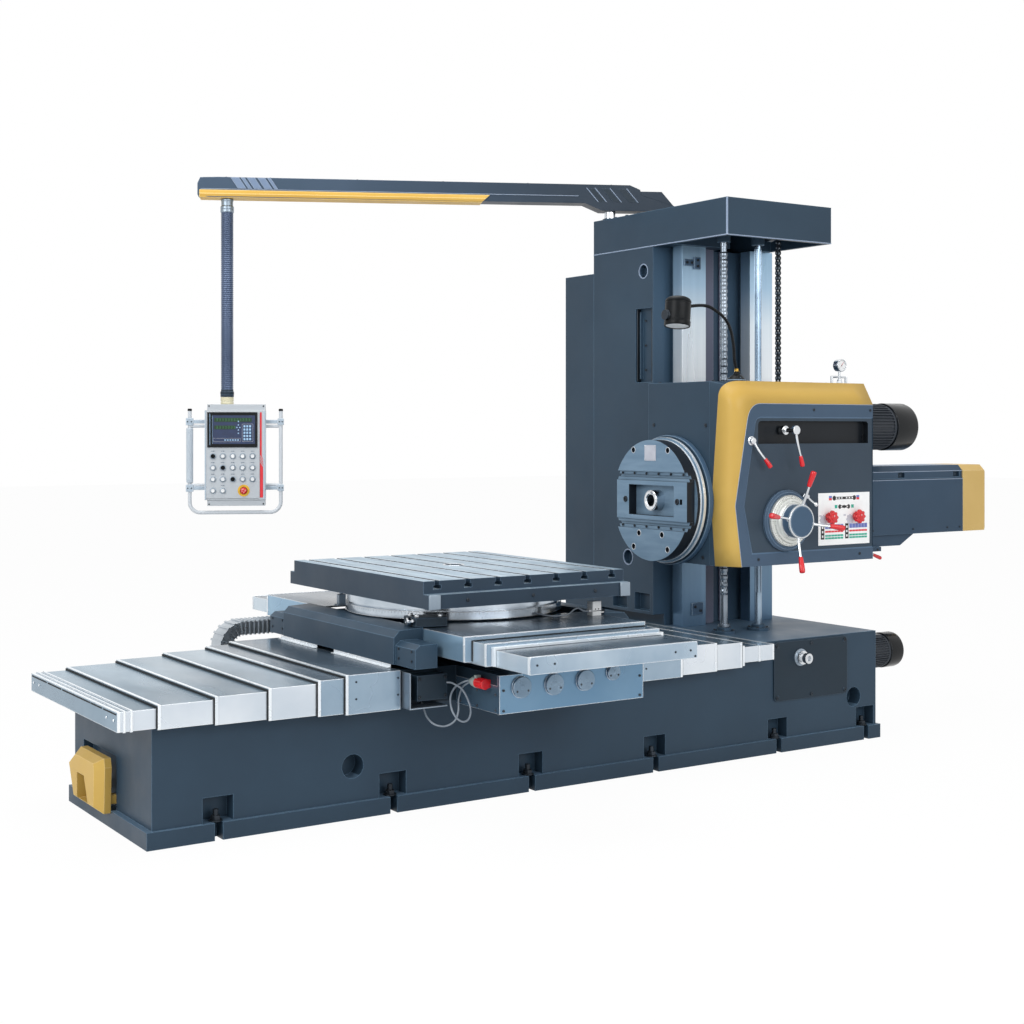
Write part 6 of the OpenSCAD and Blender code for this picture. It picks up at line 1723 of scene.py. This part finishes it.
def add_fluted_grip(bm):
    """The fluted sleeve, as four stacked rings."""
    last = None
    for z, r in ((1393, 16.5), (1398, 19.5), (1706, 19.5), (1711, 16.5)):
        ring = []
        for k in range(FLUTES * 2):
            angle = math.tau * k / (FLUTES * 2)
            q = r - (2.2 if k % 2 else 0.0)
            spot = mm(-260.5 + q * math.cos(angle), q * math.sin(angle), z)
            ring.append(bm.verts.new(DESK @ spot))
        if last:
            close_rows(bm, last, ring)
        else:
            bm.faces.new(ring)
        last = ring
    bm.faces.new(list(reversed(last)))


piece("pendant_grip", "grey_coat", "pendant", add_fluted_grip, angle=20)
piece("pendant_clamps", "grey_coat", "pendant",
      *[blocks((-282, -16, z, -240, 16, z + 42), (-242, -11, z + 10, -172, 11, z + 32),
               (172.2, -11, z + 10, 242, 11, z + 32), (240, -15.5, z + 2, 276, 15.5, z + 40),
               place=DESK) for z in (1342, 1725)], bevel=3)
piece("pendant_caps_and_screws", "black_plastic", "pendant",
      *[turned([(0, 0), (12.5, 0), (12.5, 10), (10.5, 13), (0, 14)],
               place_at(DESK @ mm(x, 0, 1808)), 28) for x in (-260.5, 258.5)],
      screws(TO_OPERATOR, 3.5, 3, [(x, -15.8, z) for z in (1363, 1746)
                                   for x in (-271, -250, 250, 267)], DESK),
      screws(TO_OPERATOR, 4, 3, grid((-148, 160), (-48.8,), (1272, 1836)), DESK))
piece("pendant_back_plate", "grey_coat", "pendant",
      blocks((-140, 54.8, 1330, 140, 57, 1780),
             *[(-90, 56.8, 1640 + k * 14, 90, 58.5, 1646 + k * 14) for k in range(9)],
             place=DESK), bevel=1)
print("pendant frame: grip with", FLUTES, "flutes, 4 clamps")

# %% [markdown]
# ## Table top details
# Each tee slot has lips that chips and clamps rub bright, and the centre bore holds a ground ring.
# Thin strips along the slots give the bright lines that make a ground table read as one. They are
# partly wear and partly a painted highlight.

# %% Add the slot lips and the centre ring
TABLE_X, TABLE_Y, BORE_Y, SLOT_PITCH = -350, 655.5, 58, 160
lips = []
for i, side in grid(range(-3, 4), (-1, 1)):
    slot = TABLE_X + i * SLOT_PITCH
    near, far = sorted((slot + side * 11.2, slot + side * 15.2))
    for y0, y1 in ((-TABLE_Y, TABLE_Y),) if i else ((-TABLE_Y, -BORE_Y), (BORE_Y, TABLE_Y)):
        lips.append((near, y0, 1034.9, far, y1, 1035.5))
piece("table_slot_lips", "hem_steel", "rotary_table", blocks(*lips))
piece("table_centre_ring", "chrome", "rotary_table",
      turned([(42.5, -30), (42.5, 0.2), (44, 1), (53, 1), (54.5, 0), (54.5, -0.5), (42.5, -30)],
             place_at(mm(TABLE_X, 0, 1035)), 56), angle=30)
table_screws = []
for side, way in ((-1, FORWARD), (1, BACK)):
    y = side * 701.2
    table_screws += [screws(way, 6, 4, grid((-860, 160), (y,), (936, 958))),
                     screws(way, 8, 4, grid((-700, -350, 0), (y,), (947,)))]
piece("table_side_screws", "dark_steel", "rotary_table", *table_screws)
print("table: slot lips, centre ring, screws")

# %% [markdown]
# ## Ring under the table
# The ring is turned in steps, and its ground band has fine scale lines. Thin turned lands with
# their own profile give crisp bright and dark bands round it.

# %% Add the lands and the scale of the ring
ring_low, ring_high = (corner[2] * 1000 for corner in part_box("table_bearing_ring"))
ring_middle = (ring_low + ring_high) / 2
ring_axis = place_at(mm(TABLE_X, 0, 0))
LINES = 180
lands = [turned([(529.6, z), (530.8, z + 0.5), (530.8, z + 2.8), (529.6, z + 3.4), (529.6, z)],
                ring_axis, 160) for z in (ring_low + 0.4, ring_middle - 10.5)]
lands.append(turned([(519.6, ring_high - 4), (521.2, ring_high - 3.6), (521.2, ring_high - 1.2),
                     (519.6, ring_high - 0.6), (519.6, ring_high - 4)], ring_axis, 160))
piece("ring_bright_lands", "chrome", "cross_slide", *lands, angle=25)
line_top = ring_middle - 11.5
piece("ring_scale_lines", "label_black", "cross_slide",
      *[blocks((530, -0.6, line_top - (8 if k % 10 else 13), 530.3, 0.6, line_top),
               place=spin(ring_axis, 360 * k / LINES)) for k in range(LINES)])
print("ring: lands and", LINES, "scale lines")

# %% [markdown]
# ## Gearbox caps, crank and bed details
# The round caps on the gearbox are turned, so fine grooves catch the light, and two holes take a
# pin spanner. The crank end has a chromed collar on a flange with screws.

# %% Add caps, collar and screws
CAPS = ((-590, 588, 46), (-418, 585, 46), (-250, 588, 46), (-94, 609, 34))
cap_faces, pin_holes = [], []
for x, z, r in CAPS:
    profile = [(0, 2.6), (r * 0.20, 2.6), (r * 0.22, 1.8)]
    for k in range(4):
        groove = r * (0.30 + 0.16 * k)
        profile += [(groove, 1.8), (groove + 0.7, 1), (groove + 1.4, 1.8)]
    profile += [(r - 2, 1.8), (r - 0.4, 0.4), (r - 0.4, 0), (0, 0)]
    cap_faces.append(turned(profile, place_at(mm(x, -974.05, z), FORWARD), 56))
    # The pin holes are flat black discs, which is painted shade for their depth.
    for side in (-1, 1):
        pin_holes.append(turned([(0, 0), (4.8, 0), (4.8, 0.8), (3.6, 1), (0, 0.4)], place_at(
            mm(x + side * r * 0.62, -975.9, z - r * 0.35), FORWARD), 18))
piece("gearbox_cap_faces", "cap_steel", "saddle", *cap_faces, angle=30)
piece("gearbox_pin_holes", "black_paint", "saddle", *pin_holes,
      screws(FORWARD, 6, 4, grid((-680, 60), (-960.1,), (492, 580))),
      screws(LEFT, 6, 4, grid((-700.1,), (-930, -780, -640), (492, 560))))
piece("crank_flange", "satin_steel", "machine",
      turned([(26, 0), (46, 0), (46, 5), (44, 7), (34, 8), (32, 14), (26, 15), (26, 0)],
             place_at(mm(1500, -504.6, 490), FORWARD), 48),
      screws(FORWARD, 3.5, 4, around(1500, -511, 490, 40, 45, 4, "y")), angle=30)
piece("cover_plate_screws", "dark_steel", "machine",
      screws(FORWARD, 9, 5, grid((1332, 1580, 1828), (-504.6,), (288, 560))), bevel=0.4)
# Painted highlight: a thin pale tube along the panel's bevel edge stands for the light on that
# edge.
edge_highlight_line = [p + mm(0, -0.6, 0) for p in inner_edge]
piece("panel_edge_highlight", "rib_paint", "headstock",
      lambda bm: add_tube(bm, edge_highlight_line, lambda t: 0.0016, 10))
piece("headstock_lid_screws", "dark_steel", "headstock",
      screws(UP, 8, 7, grid(range(1080, 2040, 118), (-286, 160), (1955.1,))),
      screws(RIGHT, 9, 6, grid((2050.1,), (-150, 120), (1060, 1300, 1540, 1780, 1900))), bevel=0.4)
print("gearbox:", len(CAPS), "caps; crank flange; headstock lid screws")
